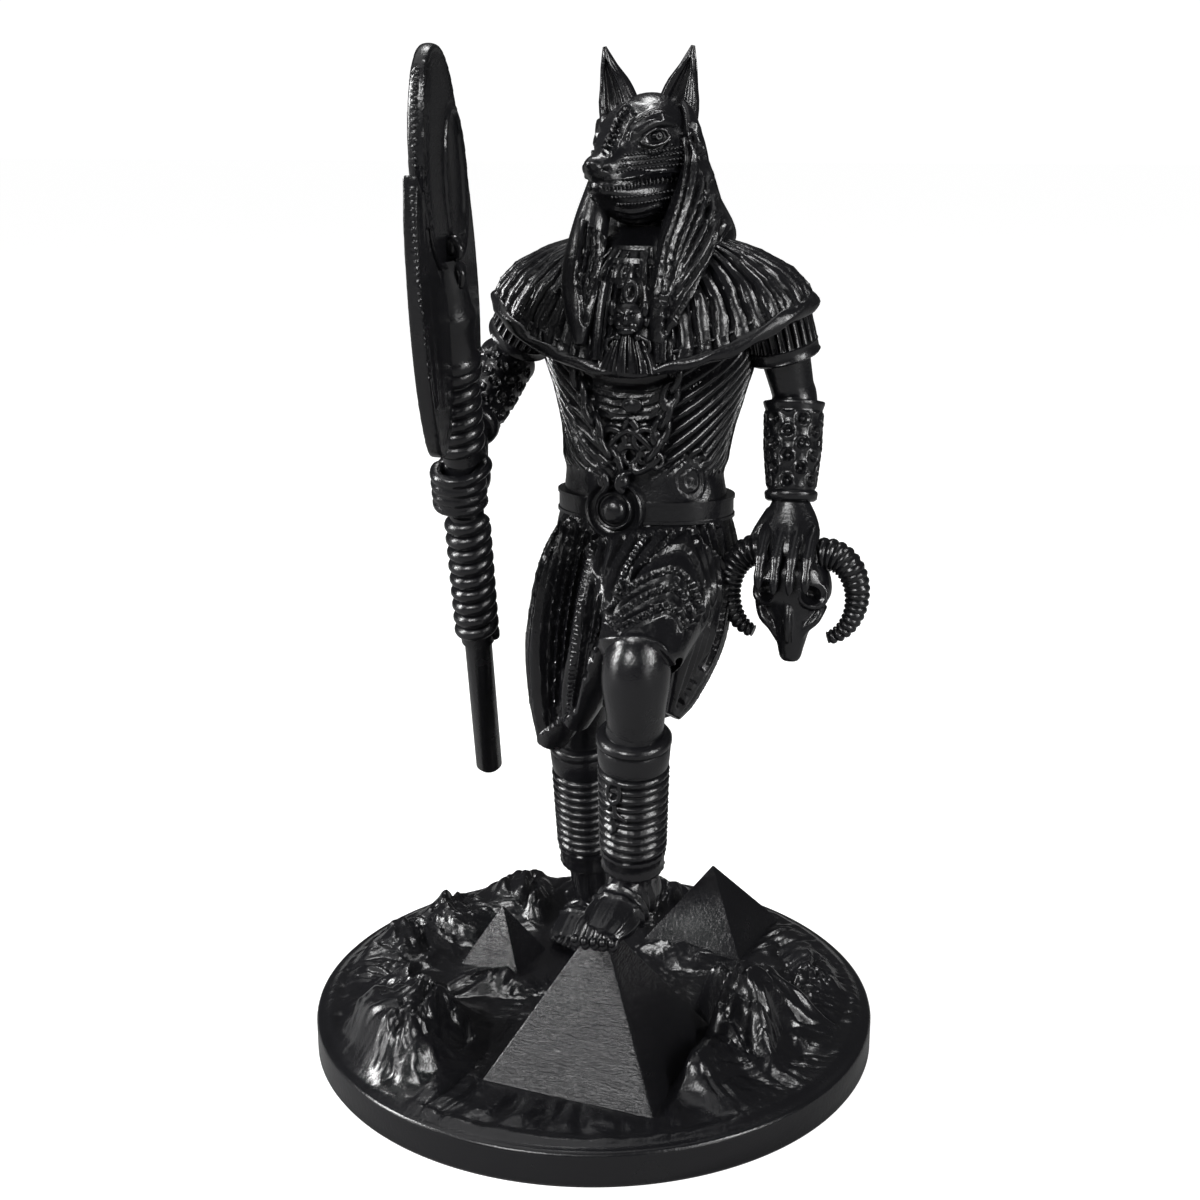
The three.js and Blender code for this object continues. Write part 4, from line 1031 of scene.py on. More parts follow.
def leg(knee, top, foot, ankle, wide):
    """The bare knee and the core of one leg, and its greave from the top to the foot."""
    def at(t, radius):
        return [top[k] + (foot[k] - top[k]) * t for k in range(3)] + [radius, radius]

    def hoops(angle, length, z):
        t = (top[2] - z) / (top[2] - foot[2])
        within = (t > 0.21) & (t < 0.84)
        hoop = np.abs(np.sin(math.pi * (t - 0.21) / 0.63 * GREAVE_HOOPS)) ** 0.5
        nicks = 0.1 * np.cos(31 * angle + 90 * t)
        return np.where(within, 1.6 * hoop + nicks, 0.12 * np.cos(24 * angle) * (t > 0.84))

    shin = [at(0.02, wide * 0.82), at(0.5, wide * 0.8), at(0.96, wide * 0.66)]
    core = strand([*knee, *shin, ankle], 48, 1.1)
    greave = strand(
        [at(-0.03, wide * 0.84), at(-0.02, wide * 0.98), at(0.005, wide * 1.06), at(0.03, wide * 1.06),
         at(0.05, wide * 0.99), at(0.07, wide * 1.03), at(0.17, wide), at(0.195, wide * 0.98),
         at(0.205, wide * 0.84), at(0.84, wide * 0.8), at(0.85, wide * 0.92), at(0.87, wide * 0.95),
         at(0.89, wide * 0.9), at(0.96, wide * 0.88), at(0.98, wide * 0.92), at(1.0, wide * 0.88),
         at(1.01, wide * 0.8)],
        96, 0.4, hoops, even=True)
    return [core, greave]


# Steps ahead, as a share of the toe's reach and in millimetres, height and half width as
# shares of the toe's size, and share of the hang
TOE = ((0, -1, 1.9, 0.8, 0), (0.45, 0, 1.9, 1.05, 0.05), (1, 0, 1.4, 0.95, 0.45),
       (1, 1.3, 1.05, 1.0, 0.85), (1, 1.7, 0.7, 0.5, 1.15))
TOE_PITCH = 2.3
STRAP_PLACES = (8.4, 11.8, 15, 18)


def foot(heel, ankle, ball_of_foot, sole, toe_side, hang):
    """A foot in its sandal. The big toe is first from the toe side, and the toes may hang
    down over an edge."""
    ahead = Vector((ball_of_foot[0] - heel[0], ball_of_foot[1] - heel[1], 0)).normalized()
    across = Vector((-ahead.y, ahead.x, 0))

    def along(t):
        return [ankle[k] + (ball_of_foot[k] - ankle[k]) * t for k in range(2)]

    def straps(angle, length, z):
        bands = 0
        for place in STRAP_PLACES:
            bands = bands + np.exp(-(((length - place - 1.2 * np.sin(angle)) / 0.6) ** 4))
        return 0.95 * bands + 0.25 * np.cos(10 * angle) * ease(length, 17, 20)

    made = [strand(
        [
            [heel[0] - ahead.x * 3.4, heel[1] - ahead.y * 3.4, sole + 3.6, 2.4, 2.6],
            [heel[0] - ahead.x * 2, heel[1] - ahead.y * 2, sole + 4, 4.2, 4.8],
            [heel[0] + ahead.x, heel[1] + ahead.y, sole + 4.6, 5.2, 6.4],
            [*along(0.2), sole + 4.4, 5.5, 7.6],
            [*along(0.34), sole + 3.6, 6.8, 7.0],
            [*along(0.54), sole + 3.1, 7.2, 5.8],
            [*along(0.78), sole + 2.5, 7.5, 5.0],
            [*along(1.0), sole + 2.0, 6.8, 3.4],
            [*along(1.12), sole + 1.6, 6.0, 2.2],
        ],
        60, 0.5, straps, across, sole)]
    for i in range(5):
        out = (i - 2) * TOE_PITCH * toe_side
        reach = 4.8 - i * 0.8
        size = 1.4 if i else 1.75
        start = Vector((ball_of_foot[0], ball_of_foot[1], 0)) + across * out + ahead * -1
        rows = []
        for share, more, rise, width, drop in TOE:
            spot = start + ahead * (reach * share + more)
            height = sole + size * rise - hang * drop
            rows.append([spot.x, spot.y, height, size * width, size * width * 0.95])
        made.append(strand(rows, 16, 0.5, None, across, sole - hang))
        nail = start + ahead * (reach + 1.5 + 0.25 * hang)
        heading = math.atan2(ahead.y, ahead.x) + math.pi / 2
        made.append(ball((nail.x, nail.y, sole + size * 1.6 - hang * 0.7),
                         (size * 0.62, size * 0.8, 0.4 + 0.3 * hang), (0, 0, heading), 10, 6))
    return made


LEADING_SOLE = 37.2
carved += leg(
    [[22.6, -30.4, 120, 3.4, 3.4], [22.6, -32.2, 117.2, 6.6, 6.8], [22.5, -33.6, 112.6, 8.4, 8.8],
     [22.3, -34, 106.6, 8.6, 9.0], [22.1, -33.4, 100, 7.7, 8.0], [21.6, -31.8, 94, 7.3, 7.4]],
    [21.1, -31.4, 91.4], [18.4, -22.6, 51.5], [18, -19.8, 42, 4.6, 5], 9.2)
carved += foot([19.4, -15.5], [18.2, -20.6], [14.6, -37.8], LEADING_SOLE, 1, 2.8)
carved += leg([[-5, 16, 98, 9, 9.4], [-9.6, 19.5, 80, 8, 8.2]],
              [-11.1, 22, 67.4], [-13.4, 34.2, 24.5], [-13.2, 38, 8, 5, 5.6], 9)
carved += foot([-12.2, 45], [-13.2, 39], [-15.4, 23.4], 0, -1, 0)
# The looped mark tied to the front greave
carved.append(loop((17.6, -37.4, 77.6), (-0.25, -1, 0.1), 1.8, 0.55, 1.5))
carved.append(cord([(17.4, -36.8, 74.8), (18, -36.4, 71.4), (20.6, -36.0, 69.4)], 0.6))
carved.append(cord([(17.4, -36.8, 74.8), (16, -35.8, 72.6), (14.2, -34.6, 72)], 0.6))
carved.append(cord([(16.6, -35.2, 69.4), (17, -34.6, 66.4), (16, -34, 64.8)], 0.7))


# The arms, sleeves and bracers
# Pleated half sleeves end in a plain band. The forearms are laced into stiff bracers set
# with studs, each a ball in its own bowl.

BOWL_COLUMNS = 12
BOWL_PITCH = 6.4


def between(a, b, t):
    """The place this share of the way from one place to another."""
    return [a[k] + (b[k] - a[k]) * t for k in range(3)]


def bracer_bowls(reach):
    """Studs in bowls, in staggered columns along a bracer of this reach."""
    def relief(angle, length, z):
        column = angle / TAU * BOWL_COLUMNS
        which = np.round(column)
        across = (column - which) * TAU / BOWL_COLUMNS * 7.0
        along = (length - 0.07 * reach + BOWL_PITCH / 2 * (which % 2)) % BOWL_PITCH - BOWL_PITCH / 2
        away = np.hypot(across, along)
        rim = 0.45 * np.exp(-(((away - 1.7) / 0.34) ** 2))
        bowl = -1.0 * (1 - ease(away, 0.7, 1.6))
        stud = 1.25 * np.sqrt(np.maximum(0, 1 - (away / 0.85) ** 2))
        shown = ease(length, 0.1 * reach, 0.12 * reach)
        shown = shown * (1 - ease(length, 0.82 * reach, 0.84 * reach))
        return (rim + bowl + stud) * shown
    return relief


def sleeve_pleats(angle, length, z):
    return 0.85 * pressed(angle * 26 / TAU + 0.03 * np.sin(0.6 * length))


def arm(shoulder, elbow, wrist, sleeve_end):
    """The bare arm, its bracer, its sleeve and the sleeve's band."""
    reach = (Vector(elbow) - Vector(wrist)).length
    return [
        strand([[*between(shoulder, elbow, 0.2), 7, 7.6], [*between(shoulder, elbow, 0.6), 6.4, 6.6],
                [*between(shoulder, elbow, 0.9), 5.7, 5.9], [*elbow, 5.9, 6],
                [*between(elbow, wrist, 0.3), 6.4, 6.2], [*between(elbow, wrist, 0.8), 5, 4.8],
                [*wrist, 4.6, 4.2]], 32, 1.0),
        strand([[*between(elbow, wrist, 0.04), 6.6, 6.6], [*between(elbow, wrist, 0.05), 7.9, 7.9],
                [*between(elbow, wrist, 0.06), 8.1, 8.1], [*between(elbow, wrist, 0.09), 7.9, 7.9],
                [*between(elbow, wrist, 0.13), 7.5, 7.5], [*between(elbow, wrist, 0.5), 7.3, 7.2],
                [*between(elbow, wrist, 0.89), 6.2, 5.8], [*between(elbow, wrist, 0.91), 6.9, 6.5],
                [*between(elbow, wrist, 0.93), 7.0, 6.6], [*between(elbow, wrist, 0.98), 6.8, 6.4],
                [*between(elbow, wrist, 1.0), 6.1, 5.7]],
               150, 0.36, bracer_bowls(reach), even=True),
        strand([[*between(shoulder, elbow, -0.05), 6.6, 7.4], [*shoulder, 8.4, 9],
                [*between(shoulder, elbow, sleeve_end - 0.12), 8.5, 8.9]],
               260, 1.4, sleeve_pleats, even=True),
        strand([[*between(shoulder, elbow, sleeve_end - 0.14), 8.6, 9],
                [*between(shoulder, elbow, sleeve_end - 0.12), 9.2, 9.6],
                [*between(shoulder, elbow, sleeve_end - 0.1), 9.0, 9.4],
                [*between(shoulder, elbow, sleeve_end - 0.04), 9.0, 9.4],
                [*between(shoulder, elbow, sleeve_end - 0.02), 9.3, 9.7],
                [*between(shoulder, elbow, sleeve_end), 8.8, 9.2],
                [*between(shoulder, elbow, sleeve_end + 0.005), 7.4, 7.8]],
               48, 0.6, even=True),
    ]


RIGHT_WRIST = [-31.6, -7.4, 163.4]
LEFT_WRIST = [51.6, 8.5, 146]
carved += arm([-17, 12, 199], [-31.5, 21, 179], RIGHT_WRIST, 0.72)
carved += arm([44.6, 10, 200], [50.4, 15, 172.5], LEFT_WRIST, 0.62)


# The ram skull
# The dry skull of a ram hangs under the left hand, with deep eye sockets, a split nose and
# two heavy horns that curl down in close rings.

sx, sy, sz = 54.2, 3.5, 131.6
# From the brow down to the tip of the nose: place from the skull's middle and half sizes
BRAINCASE = ((0, 2.6, 2, 6, 5), (0.1, 0.6, -3.5, 9.2, 8.2), (0.2, -1.2, -8.5, 9.8, 7.4),
             (0.3, -2.2, -12.5, 7.4, 5.8), (0.4, -3.6, -17, 5.0, 4.6), (0.5, -4.6, -21.6, 3.6, 3.6),
             (0.6, -5.4, -25, 2.7, 2.6), (0.6, -5.6, -26, 1.6, 1.6))
NOSE_RIDGE = ((0, -6.6, -9), (0.2, -8.2, -14), (0.4, -8.0, -20))
CHEEKBONE = ((8.6, -3.0, -10.6, 1.2, 1.2), (7.0, -5.6, -14.2, 1.2, 1.2), (4.4, -6.2, -17, 1.0, 1.0),
             (2.4, -6.2, -21, 0.5, 0.5))
NOSTRIL_SLIT = ((1.1, -8.6, -17, 0.2, 0.3), (1.2, -9.0, -20.6, 0.6, 1.0), (0.8, -9.0, -25, 0.3, 0.8))
SOCKET_OUT, SOCKET_DOWN = 6.2, 7.4
SMALL_FORM_TRIANGLES = 12000


def on_skull(rows, hand=1):
    """Stations or places from the skull's middle: outwards to one hand, backwards and up."""
    return [[sx + hand * x, sy + y, sz + z, *rest] for x, y, z, *rest in rows]


bone = [cord(on_skull(NOSE_RIDGE), 1.2), strand(on_skull(BRAINCASE), 40, 0.7)]
for hand in (-1, 1):
    bone.append(loop((sx + hand * SOCKET_OUT, sy - 6.0, sz - SOCKET_DOWN), (hand * 0.5, -1, 0.15),
                     3.5, 0.9, 0.9, (hand * 0.5, 0, 1)))
    bone.append(strand(on_skull(CHEEKBONE, hand), 12, 0.8))
bone = soften(bone, 0.4, 2)
thin_out(bone, SMALL_FORM_TRIANGLES / FINE**2)
for hand in (-1, 1):
    cut(bone, ball((sx + hand * SOCKET_OUT, sy - 7.6, sz - SOCKET_DOWN), (2.9, 4.6, 2.6),
                   (0, hand * 0.45, hand * 0.35)))
    cut(bone, strand(on_skull(NOSTRIL_SLIT, hand), 12, 0.8))
carved.append(bone)


HORN_STEPS = 16
HORN_RING_PITCH = 1.7


def horn_rings(angle, length, z):
    rings = np.abs(np.sin(math.pi * length / HORN_RING_PITCH)) ** 0.7
    return 0.62 * rings * (1 - ease(length, 38, 54)) + 0 * angle


for hand in (-1, 1):
    rows = []
    for i in range(HORN_STEPS):
        t = i / (HORN_STEPS - 1)
        turn = math.radians(112 - 194 * t)
        spread_out = 8.7 - 0.8 * t
        thick = 3.9 - 2.7 * t**1.4
        rows.append([sx - 0.4 + hand * (8.8 + spread_out * math.cos(turn)), sy + 1.5 - 2.4 * t,
                     sz - 9.2 + 11.0 * math.sin(turn), thick, thick])
    carved.append(strand(rows, 28, 0.3, horn_rings, (0, 1, 0)))


# The hands
# The left hand is laid over the skull with its fingers spread down the brow. The right
# fist closes round the staff, and is bored out so that the rod slides through it.

wx, wy, wz = LEFT_WRIST
carved.append(soften([
    strand([[wx, wy, wz + 2, 4.8, 4.2], [wx, wy, wz, 5.0, 4.2], [wx + 0.6, wy - 2.6, wz - 4.6, 7.2, 3.8],
            [wx + 1.2, wy - 5.4, wz - 8.4, 7.8, 3.2], [wx + 1.4, wy - 7.8, wz - 11, 6.6, 2.6],
            [wx + 1.4, wy - 9.4, wz - 13.4, 5.2, 1.8]], 32, 0.9),
    strand([[wx - 4, wy - 1.6, wz - 3, 2.4, 2.6], [wx - 7.8, wy - 3.4, wz - 9, 1.9, 2.1],
            [wx - 8.6, wy - 5.4, wz - 13, 1.6, 1.7], [wx - 8, wy - 6.4, wz - 15.4, 0.9, 1.0]], 16, 0.8),
], 0.5, 2))
FINGER_PITCH = 4.1
# How much longer each finger is than the shortest ones, towards its tip
FINGER_LONGER = (0, 0.05, 0.045, 0)
# Each finger thins between its joints: how far before and below the wrist, and radius
FINGER = ((4.6, 6.0, 1.5), (7.4, 7.8, 1.85), (10.4, 10.2, 1.35), (12.6, 12.6, 1.55),
          (13.8, 15.0, 1.1), (14.5, 17.2, 1.3), (15.0, 19.4, 1.0), (15.1, 20.6, 0.4))
for i, longer in enumerate(FINGER_LONGER):
    out = wx - 4.9 + i * FINGER_PITCH
    carved.append(strand([[out, wy - before, wz - down * (1 + longer * down / 24), size, size]
                          for before, down, size in FINGER], 18, 0.5))

# How the staff stands in the fist: its lean, the turn of its head, the middle of the grip,
# its sizes, and the room round it
STAFF_LEAN = math.radians(20)
HEAD_TURN = math.radians(9)
GRIP = Vector((-29.3, -18.7, 150.3))
STAFF_LENGTH = 212.0
GRIP_ABOVE_FOOT = STAFF_LENGTH * 0.46
FIST_HEIGHT = 13.2
ROD = 3.8
WRAP = 6.0
ROOM = 0.3
staff_ahead = Vector((0.0814, -math.sin(STAFF_LEAN), math.cos(STAFF_LEAN))).normalized()
towards_front = (Vector((0, -1, 0)) + staff_ahead * staff_ahead.y).normalized()
towards_front.rotate(Matrix.Rotation(HEAD_TURN, 3, staff_ahead))
staff_side = staff_ahead.cross(towards_front)
GRIP_FRAME = Matrix((staff_side, -towards_front, staff_ahead)).transposed()


def in_grip(side, back, up):
    """A place near the fist, from the middle of the grip: sideways, backwards and up the rod."""
    return (GRIP + GRIP_FRAME @ Vector((side, back, up)))[:]


CURL_STEPS = 12
CURL_START, CURL_SWEEP = 150, 235
FINGER_SIZE = 1.62
fist_forms = []
for i in range(4):
    up = (1.5 - i) * FIST_HEIGHT * 0.222
    rows = []
    for step in range(CURL_STEPS + 1):
        turn = math.radians(CURL_START + CURL_SWEEP * step / CURL_STEPS)
        reach = ROD + ROOM + 1.7
        knuckle = 0.5 * max(0, math.cos(3 * (turn - math.radians(215))))
        size = FINGER_SIZE * (0.75 if step in (0, CURL_STEPS) else 1)
        spot = in_grip(reach * math.cos(turn) - 1.3, (reach + knuckle) * math.sin(turn), up)
        rows.append([*spot, size, size])
    fist_forms.append(strand(rows, 18, 0.7, across=staff_ahead[:]))
bpy.ops.mesh.primitive_uv_sphere_add(segments=24, ring_count=16, radius=MM)
palm = bpy.context.object
palm_middle = Vector(in_grip(-1.4, ROD + ROOM + 0.6, 0.3)) + Vector((0, 0, SOLE))
palm_size = Matrix.Diagonal((7.5, 5.4, 7.4, 1))
palm.matrix_world = Matrix.Translation(palm_middle * MM) @ GRIP_FRAME.to_4x4() @ palm_size
bpy.ops.object.transform_apply(location=True, rotation=True, scale=True)
fist_forms.append(palm)
thumb = [[*in_grip(3, 6, 5.0), 2.2, 2.0], [*in_grip(5.6, 1.5, 5.6), 2.0, 1.9],
         [*in_grip(4.6, -3.4, 5.4), 1.6, 1.5], [*in_grip(3.0, -5.4, 5.0), 0.9, 0.9]]
fist_forms.append(strand(thumb, 16, 0.8))
heel = between(RIGHT_WRIST, (GRIP.x, GRIP.y + 7, GRIP.z), 0.6)
heel = [heel[0] - 1, heel[1], GRIP.z + 5.6]
fist_forms.append(strand([[*RIGHT_WRIST, 4.6, 4.2], [*heel, 5.0, 4.8]], 24, 0.9))
fist = soften(fist_forms, 0.36, 1)
thin_out(fist, SMALL_FORM_TRIANGLES / FINE**2)
carved.append(fist)
grip_half = FIST_HEIGHT / 2 + 0.6
# The bore is close round the rod inside the fist, and wide enough for the wraps beyond it
BORE_LOW, BORE_HIGH = -50, 64
bore = turned([[0, BORE_LOW], [WRAP + ROOM, BORE_LOW], [WRAP + ROOM, -grip_half],
               [ROD + ROOM, -grip_half], [ROD + ROOM, grip_half], [WRAP + ROOM, grip_half],
               [WRAP + ROOM, BORE_HIGH], [0, BORE_HIGH]],
              GRIP[:], staff_ahead[:], 40)


# The jackal's head
# A long narrow muzzle with a closed row of teeth. Bead rows run back over the cheeks, a
# ridge of small scales runs down the brow, and the tall ears stand hollow in front.

HEAD_MIDDLE = Vector((12.6, 8, 0))
HEAD_YAW = math.radians(22)
facing = Vector((-math.sin(HEAD_YAW), -math.cos(HEAD_YAW), 0))
sideways = Vector((math.cos(HEAD_YAW), -math.sin(HEAD_YAW), 0))


def on_head(ahead, out, z):
    """A place on the head: towards its nose, out to its left, and its height."""
    spot = HEAD_MIDDLE + facing * ahead + sideways * out
    return (spot.x, spot.y, z)


# How far ahead, half width, half height and height of the middle, from the neck to the nose
PROFILE = ((-10.6, 6, 6, 237), (-7, 10, 10, 236.8), (-1, 11.4, 12.6, 235.6),
           (5, 11, 12.8, 233.8), (9, 9.6, 11, 232.9), (12, 7.8, 8.6, 231.8),
           (15, 6.2, 6.8, 230.8), (18.6, 5.2, 4.6, 230.4), (21.2, 4.3, 3.3, 230.5),
           (22.6, 3.0, 2.3, 230.5), (23.4, 1.6, 1.4, 230.6))
# The same of the lower jaw
JAW = ((-2, 9.8, 8.4, 224.4), (5, 9.8, 8.2, 224.2), (10, 8.7, 7.0, 224.4), (14, 7.0, 5.4, 225),
       (17.6, 5.4, 3.4, 225.7), (19.8, 4.4, 2.4, 226.1), (21.0, 3.0, 1.6, 226.4),
       (21.6, 1.4, 0.8, 226.6))
head_forms = [
    strand([[*on_head(ahead, 0, z), wide, high] for ahead, wide, high, z in PROFILE],
           56, 0.7, None, sideways[:]),
    strand([[*on_head(ahead, 0, z), wide, high] for ahead, wide, high, z in JAW],
           48, 0.7, None, sideways[:]),
    ball(on_head(-0.6, 0, 236.6), (11.6, 12.6, 12.2), (0, 0, -HEAD_YAW), 32, 24),
    ball(on_head(22.2, 0, 231.4), (2.5, 2.2, 1.9), segments=14, rings=10),
]
# How far ahead, how far out, height and half sizes of the brow and of the upper lip
BROW = ((2, 9.6, 240.5, 1.3, 1.3), (7.5, 8.6, 241.8, 1.8, 1.8), (12, 6, 239.4, 1.7, 1.7),
        (15.5, 3.4, 235.6, 1.1, 1.1))
UPPER_LIP = ((20.6, 3.4, 229.1, 0.9, 1.0), (14, 6.0, 228.8, 1.2, 1.3), (4, 9.4, 228.8, 1.2, 1.3))
for hand in (-1, 1):
    brow, lip = ([[*on_head(ahead, hand * out, z), *sizes] for ahead, out, z, *sizes in rows]
                 for rows in (BROW, UPPER_LIP))
    head_forms.append(strand(brow, 14, 0.8))
    head_forms.append(ball(on_head(21.8, hand * 2.4, 230.4), (1.5, 1.6, 1.4), segments=10, rings=8))
    head_forms.append(strand(lip, 14, 0.8))
face = soften(head_forms, 0.29, 2)
# Guide lines as they are seen in the photograph, in its pixels
BROW_SCALES = [(604, 157), (611, 145), (617, 132), (624, 117), (635, 108)]
BROW_RIDGE = [(629, 136), (637, 122), (654, 112), (666, 114)]
UPPER_LID = [(641, 143), (646, 134), (655, 128), (664, 130), (669, 137)]
LOWER_LID = [(641, 143), (653, 146), (663, 143), (669, 137)]
EYE_BAG = [(638, 146), (651, 153), (665, 149), (674, 140)]
CHEEK_HIGH = [(625, 155), (655, 152), (681, 147)]
CHEEK_LOW = [(618, 172), (645, 168), (681, 164)]
LIP = [(602, 178), (616, 178), (637, 176), (654, 173), (681, 171)]
TEETH = [(601, 188), (613, 189), (628, 187), (646, 183), (680, 179)]
CHIN_HIGH = [(612, 197), (640, 196), (676, 190)]
CHIN_LOW = [(618, 204), (640, 203), (672, 197)]
JAW_HIGH = [(612, 208), (629, 212), (645, 210), (664, 204)]
JAW_LOW = [(622, 224), (637, 227), (652, 223)]
HOOD_EDGE = [(682, 134), (683, 155), (682, 180)]
EYE_HOLLOW = [(646, 140), (656, 137), (668, 136)]
EYE_MIDDLE = (657, 136)
NOSTRIL = [(600, 171), (606, 169), (612, 171)]


def moved(line, right, down):
    """The same line further right and further down in the photograph."""
    return [(x + right, y + down) for x, y in line]


carve(face,
      strokes("groove", 6.5, 0.9, [EYE_HOLLOW])
      + strokes("line", 2.6, 0.9, [BROW_RIDGE])
      + strokes("groove", 1.6, 0.7, [moved(BROW_RIDGE, -3, 5)])
      + strokes("groove", 1.6, 0.7, [moved(LOWER_LID, 0, 4)])
      + strokes("line", 1.6, 0.8, [EYE_BAG])
      + strokes("line", 1.6, 0.8, [LIP])
      + strokes("groove", 2.6, 0.9, [TEETH])
      + strokes("line", 1.6, 0.55, spread(JAW_HIGH, JAW_LOW, 4))
      + strokes("groove", 1.8, 1.0, [NOSTRIL]),
      (HEAD_MIDDLE, sideways))
carve(face, strokes("ladder", 4.8, 1.25, [BROW_SCALES], 5.8))
face_surface = BVHTree.FromPolygons([v.co[:] for v in face.data.vertices],
                                    [p.vertices[:] for p in face.data.polygons])


def seen_at(surface, pixel):
    """The place on a surface that the photograph shows at a pixel, and the way it faces."""
    right, down = (value - PHOTO / 2 for value in pixel)
    look = EYE_TURN.to_matrix() @ Vector((right / FOCAL, -down / FOCAL, -1))
    spot, normal, _, _ = surface.ray_cast(Vector(EYE) * MM, look.normalized())
    return Vector(spot) / MM - Vector((0, 0, SOLE)), normal


def mirrored(vector, place=True):
    """The same place, or direction, on the other side of the head."""
    out = (vector - HEAD_MIDDLE if place else vector).dot(sideways)
    return vector - 2 * out * sideways


def on_face(line, pitch, lift):
    """Places along a line on the face, a little off its skin."""
    found = [seen_at(face_surface, pixel) for pixel in smooth_line(line, pitch)]
    return [spot + normal * lift for spot, normal in found]


def beads(spots, half):
    """Small round beads in one mesh, each with few faces."""
    around = 8
    turn = np.arange(around) / around * TAU
    points = [[0, 0, -1]]
    for level in (-0.8, 0, 0.8):
        wide, high = math.cos(level), math.sin(level)
        points += [[wide * math.cos(t), wide * math.sin(t), high] for t in turn]
    points.append([0, 0, 1])
    faces = []
    for i in range(around):
        j = (i + 1) % around
        faces.append([0, 1 + j, 1 + i])
        for low in (1, 1 + around):
            faces.append([low + i, low + j, low + around + j, low + around + i])
        faces.append([1 + 2 * around + i, 1 + 2 * around + j, 1 + 3 * around])
    one = np.array(points) * half
    every = np.concatenate([one + np.array(spot) + (0, 0, SOLE) for spot in spots])
    starts = [k * len(one) for k in range(len(spots))]
    shifted = [[v + start for v in corners] for start in starts for corners in faces]
    return body_of_mesh("beads", every, shifted)


STUD_PITCH, TOOTH_PITCH = 5.6, 4.6
STUD_HALF, TOOTH_HALF = (0.48, 0.48, 0.48), (0.45, 0.45, 1.05)
LID_RADIUS = 0.46
stud_rows = [*spread(CHEEK_HIGH, CHEEK_LOW, 4), *spread(CHIN_HIGH, CHIN_LOW, 2), HOOD_EDGE]
studs = [spot for line in stud_rows for spot in on_face(line, STUD_PITCH, 0.12)]
teeth = on_face(TEETH, TOOTH_PITCH, 0.2)
for spots, half in ((studs, STUD_HALF), (teeth, TOOTH_HALF)):
    carved.append(beads(spots, half))
    carved.append(beads([mirrored(spot) for spot in spots], half))
for lid in (UPPER_LID, LOWER_LID):
    rim = on_face(lid, 2.5, 0.3)
    carved.append(cord(rim, LID_RADIUS, 8, 0.4))
    carved.append(cord([mirrored(spot) for spot in rim], LID_RADIUS, 8, 0.4))
eye_spot, eye_normal = seen_at(face_surface, EYE_MIDDLE)
for spot, normal in ((eye_spot, eye_normal), (mirrored(eye_spot), mirrored(eye_normal, False))):
    carved.append(ball(spot - normal * 0.75, (2.1, 2.3, 1.5), (0, 0, -HEAD_YAW), 20, 14))
    carved.append(loop(spot + normal * 1.3, normal, 0.7, 0.25, 1.0, (0, 0, 1), (14, 6)))
carved.append(face)
EAR_TIP = 259.9
EAR_MIDDLE, EAR_OUT, EAR_SPREAD = 11.6, 7, 4.6
# Share of the spread, place in depth, height and half sizes of the ear and of its hollow
EAR = ((0, 10, 242.6, 6, 3.4), (0.2, 9.9, 246, 5.4, 3.2), (0.4, 9.8, 250, 4.3, 2.8),
       (0.75, 9.6, 255, 2.3, 1.7), (1, 9.4, EAR_TIP, 0.45, 0.45))
EAR_HOLLOW = ((0.0435, 6.0, 241.6, 2.8, 2.6), (0.2, 6.2, 245.4, 4.4, 3.6),
              (0.42, 6.6, 249.8, 3.5, 3.4), (0.75, 7.4, 254.6, 1.75, 2.2), (0.9, 8.2, 257.4, 0.3, 0.5))


def ear_lines(angle, length, z):
    return 0.1 * np.cos(20 * angle)


def hollow_lines(angle, length, z):
    return 0.3 * np.cos(9 * angle)


for hand in (-1, 1):
    root, rise = EAR_MIDDLE + hand * EAR_OUT, hand * EAR_SPREAD
    ear, hollow = ([[root + rise * share, *rest] for share, *rest in rows]
                   for rows in (EAR, EAR_HOLLOW))
    ear = strand(ear, 48, 0.6, ear_lines)
    cut(ear, strand(hollow, 64, 0.7, hollow_lines))
    carved.append(ear)


# The hood
# A cloth hood wound round the head and shoulders in twisted folds, with a rolled border at
# the face. Its two ends hang in front, pressed in narrow pleats.

def hood_folds(angle, part, z):
    away = np.abs(np.angle(np.exp(1j * (angle - np.radians(-112 + 17 * part)))))
    cover = ease(away, math.radians(42), math.radians(72))
    front = from_front(angle)
    folds = np.abs(np.sin(math.pi * (np.abs(front) * 15 / TAU - 0.075 * z))) ** 0.7 - 0.55
    unseen = 1 - ease(np.cos(front - TOWARDS_PHOTO), -0.15, 0.2)
    return -8.4 * (1 - cover) + 1.7 * folds * unseen * cover


hood = soften([
    shell(
        [[12.4, 11.6, 247.6, 4.6, 5.4], [12.4, 12, 244.6, 8.2, 10.2], [12.6, 12.2, 240, 10.4, 13],
         [13.2, 12.6, 233, 12.2, 15], [14.8, 12.6, 223, 14.6, 16.8], [15.4, 12, 213, 18.4, 17.6],
         [13, 11, 205, 16, 13]], 170, 0.7, hood_folds),
    strand([[21.4, 7, 246.4, 0.8, 1.2], [23.4, 6, 243, 1.6, 2.4], [24.6, 5, 238, 2.5, 3.8],
            [25.6, 5, 230, 3.6, 5], [26.6, -3, 216.5, 7.4, 4.8], [24.4, -9.6, 204, 6.2, 4.0],
            [22.6, -12.8, 196, 4.2, 3.0], [21.4, -14.2, 188.6, 1.7, 1.8]], 60, 0.8),
    strand([[2.6, 1, 238, 1.8, 3.0], [2.6, 1, 230, 2.6, 4.6], [1, -4.6, 216.5, 4.6, 4.4],
            [0, -10.4, 204, 5, 3.8], [0.8, -13.4, 195, 3.8, 3], [1.4, -14.8, 187.6, 1.5, 1.8]], 60, 0.8),
], 0.38, 2)
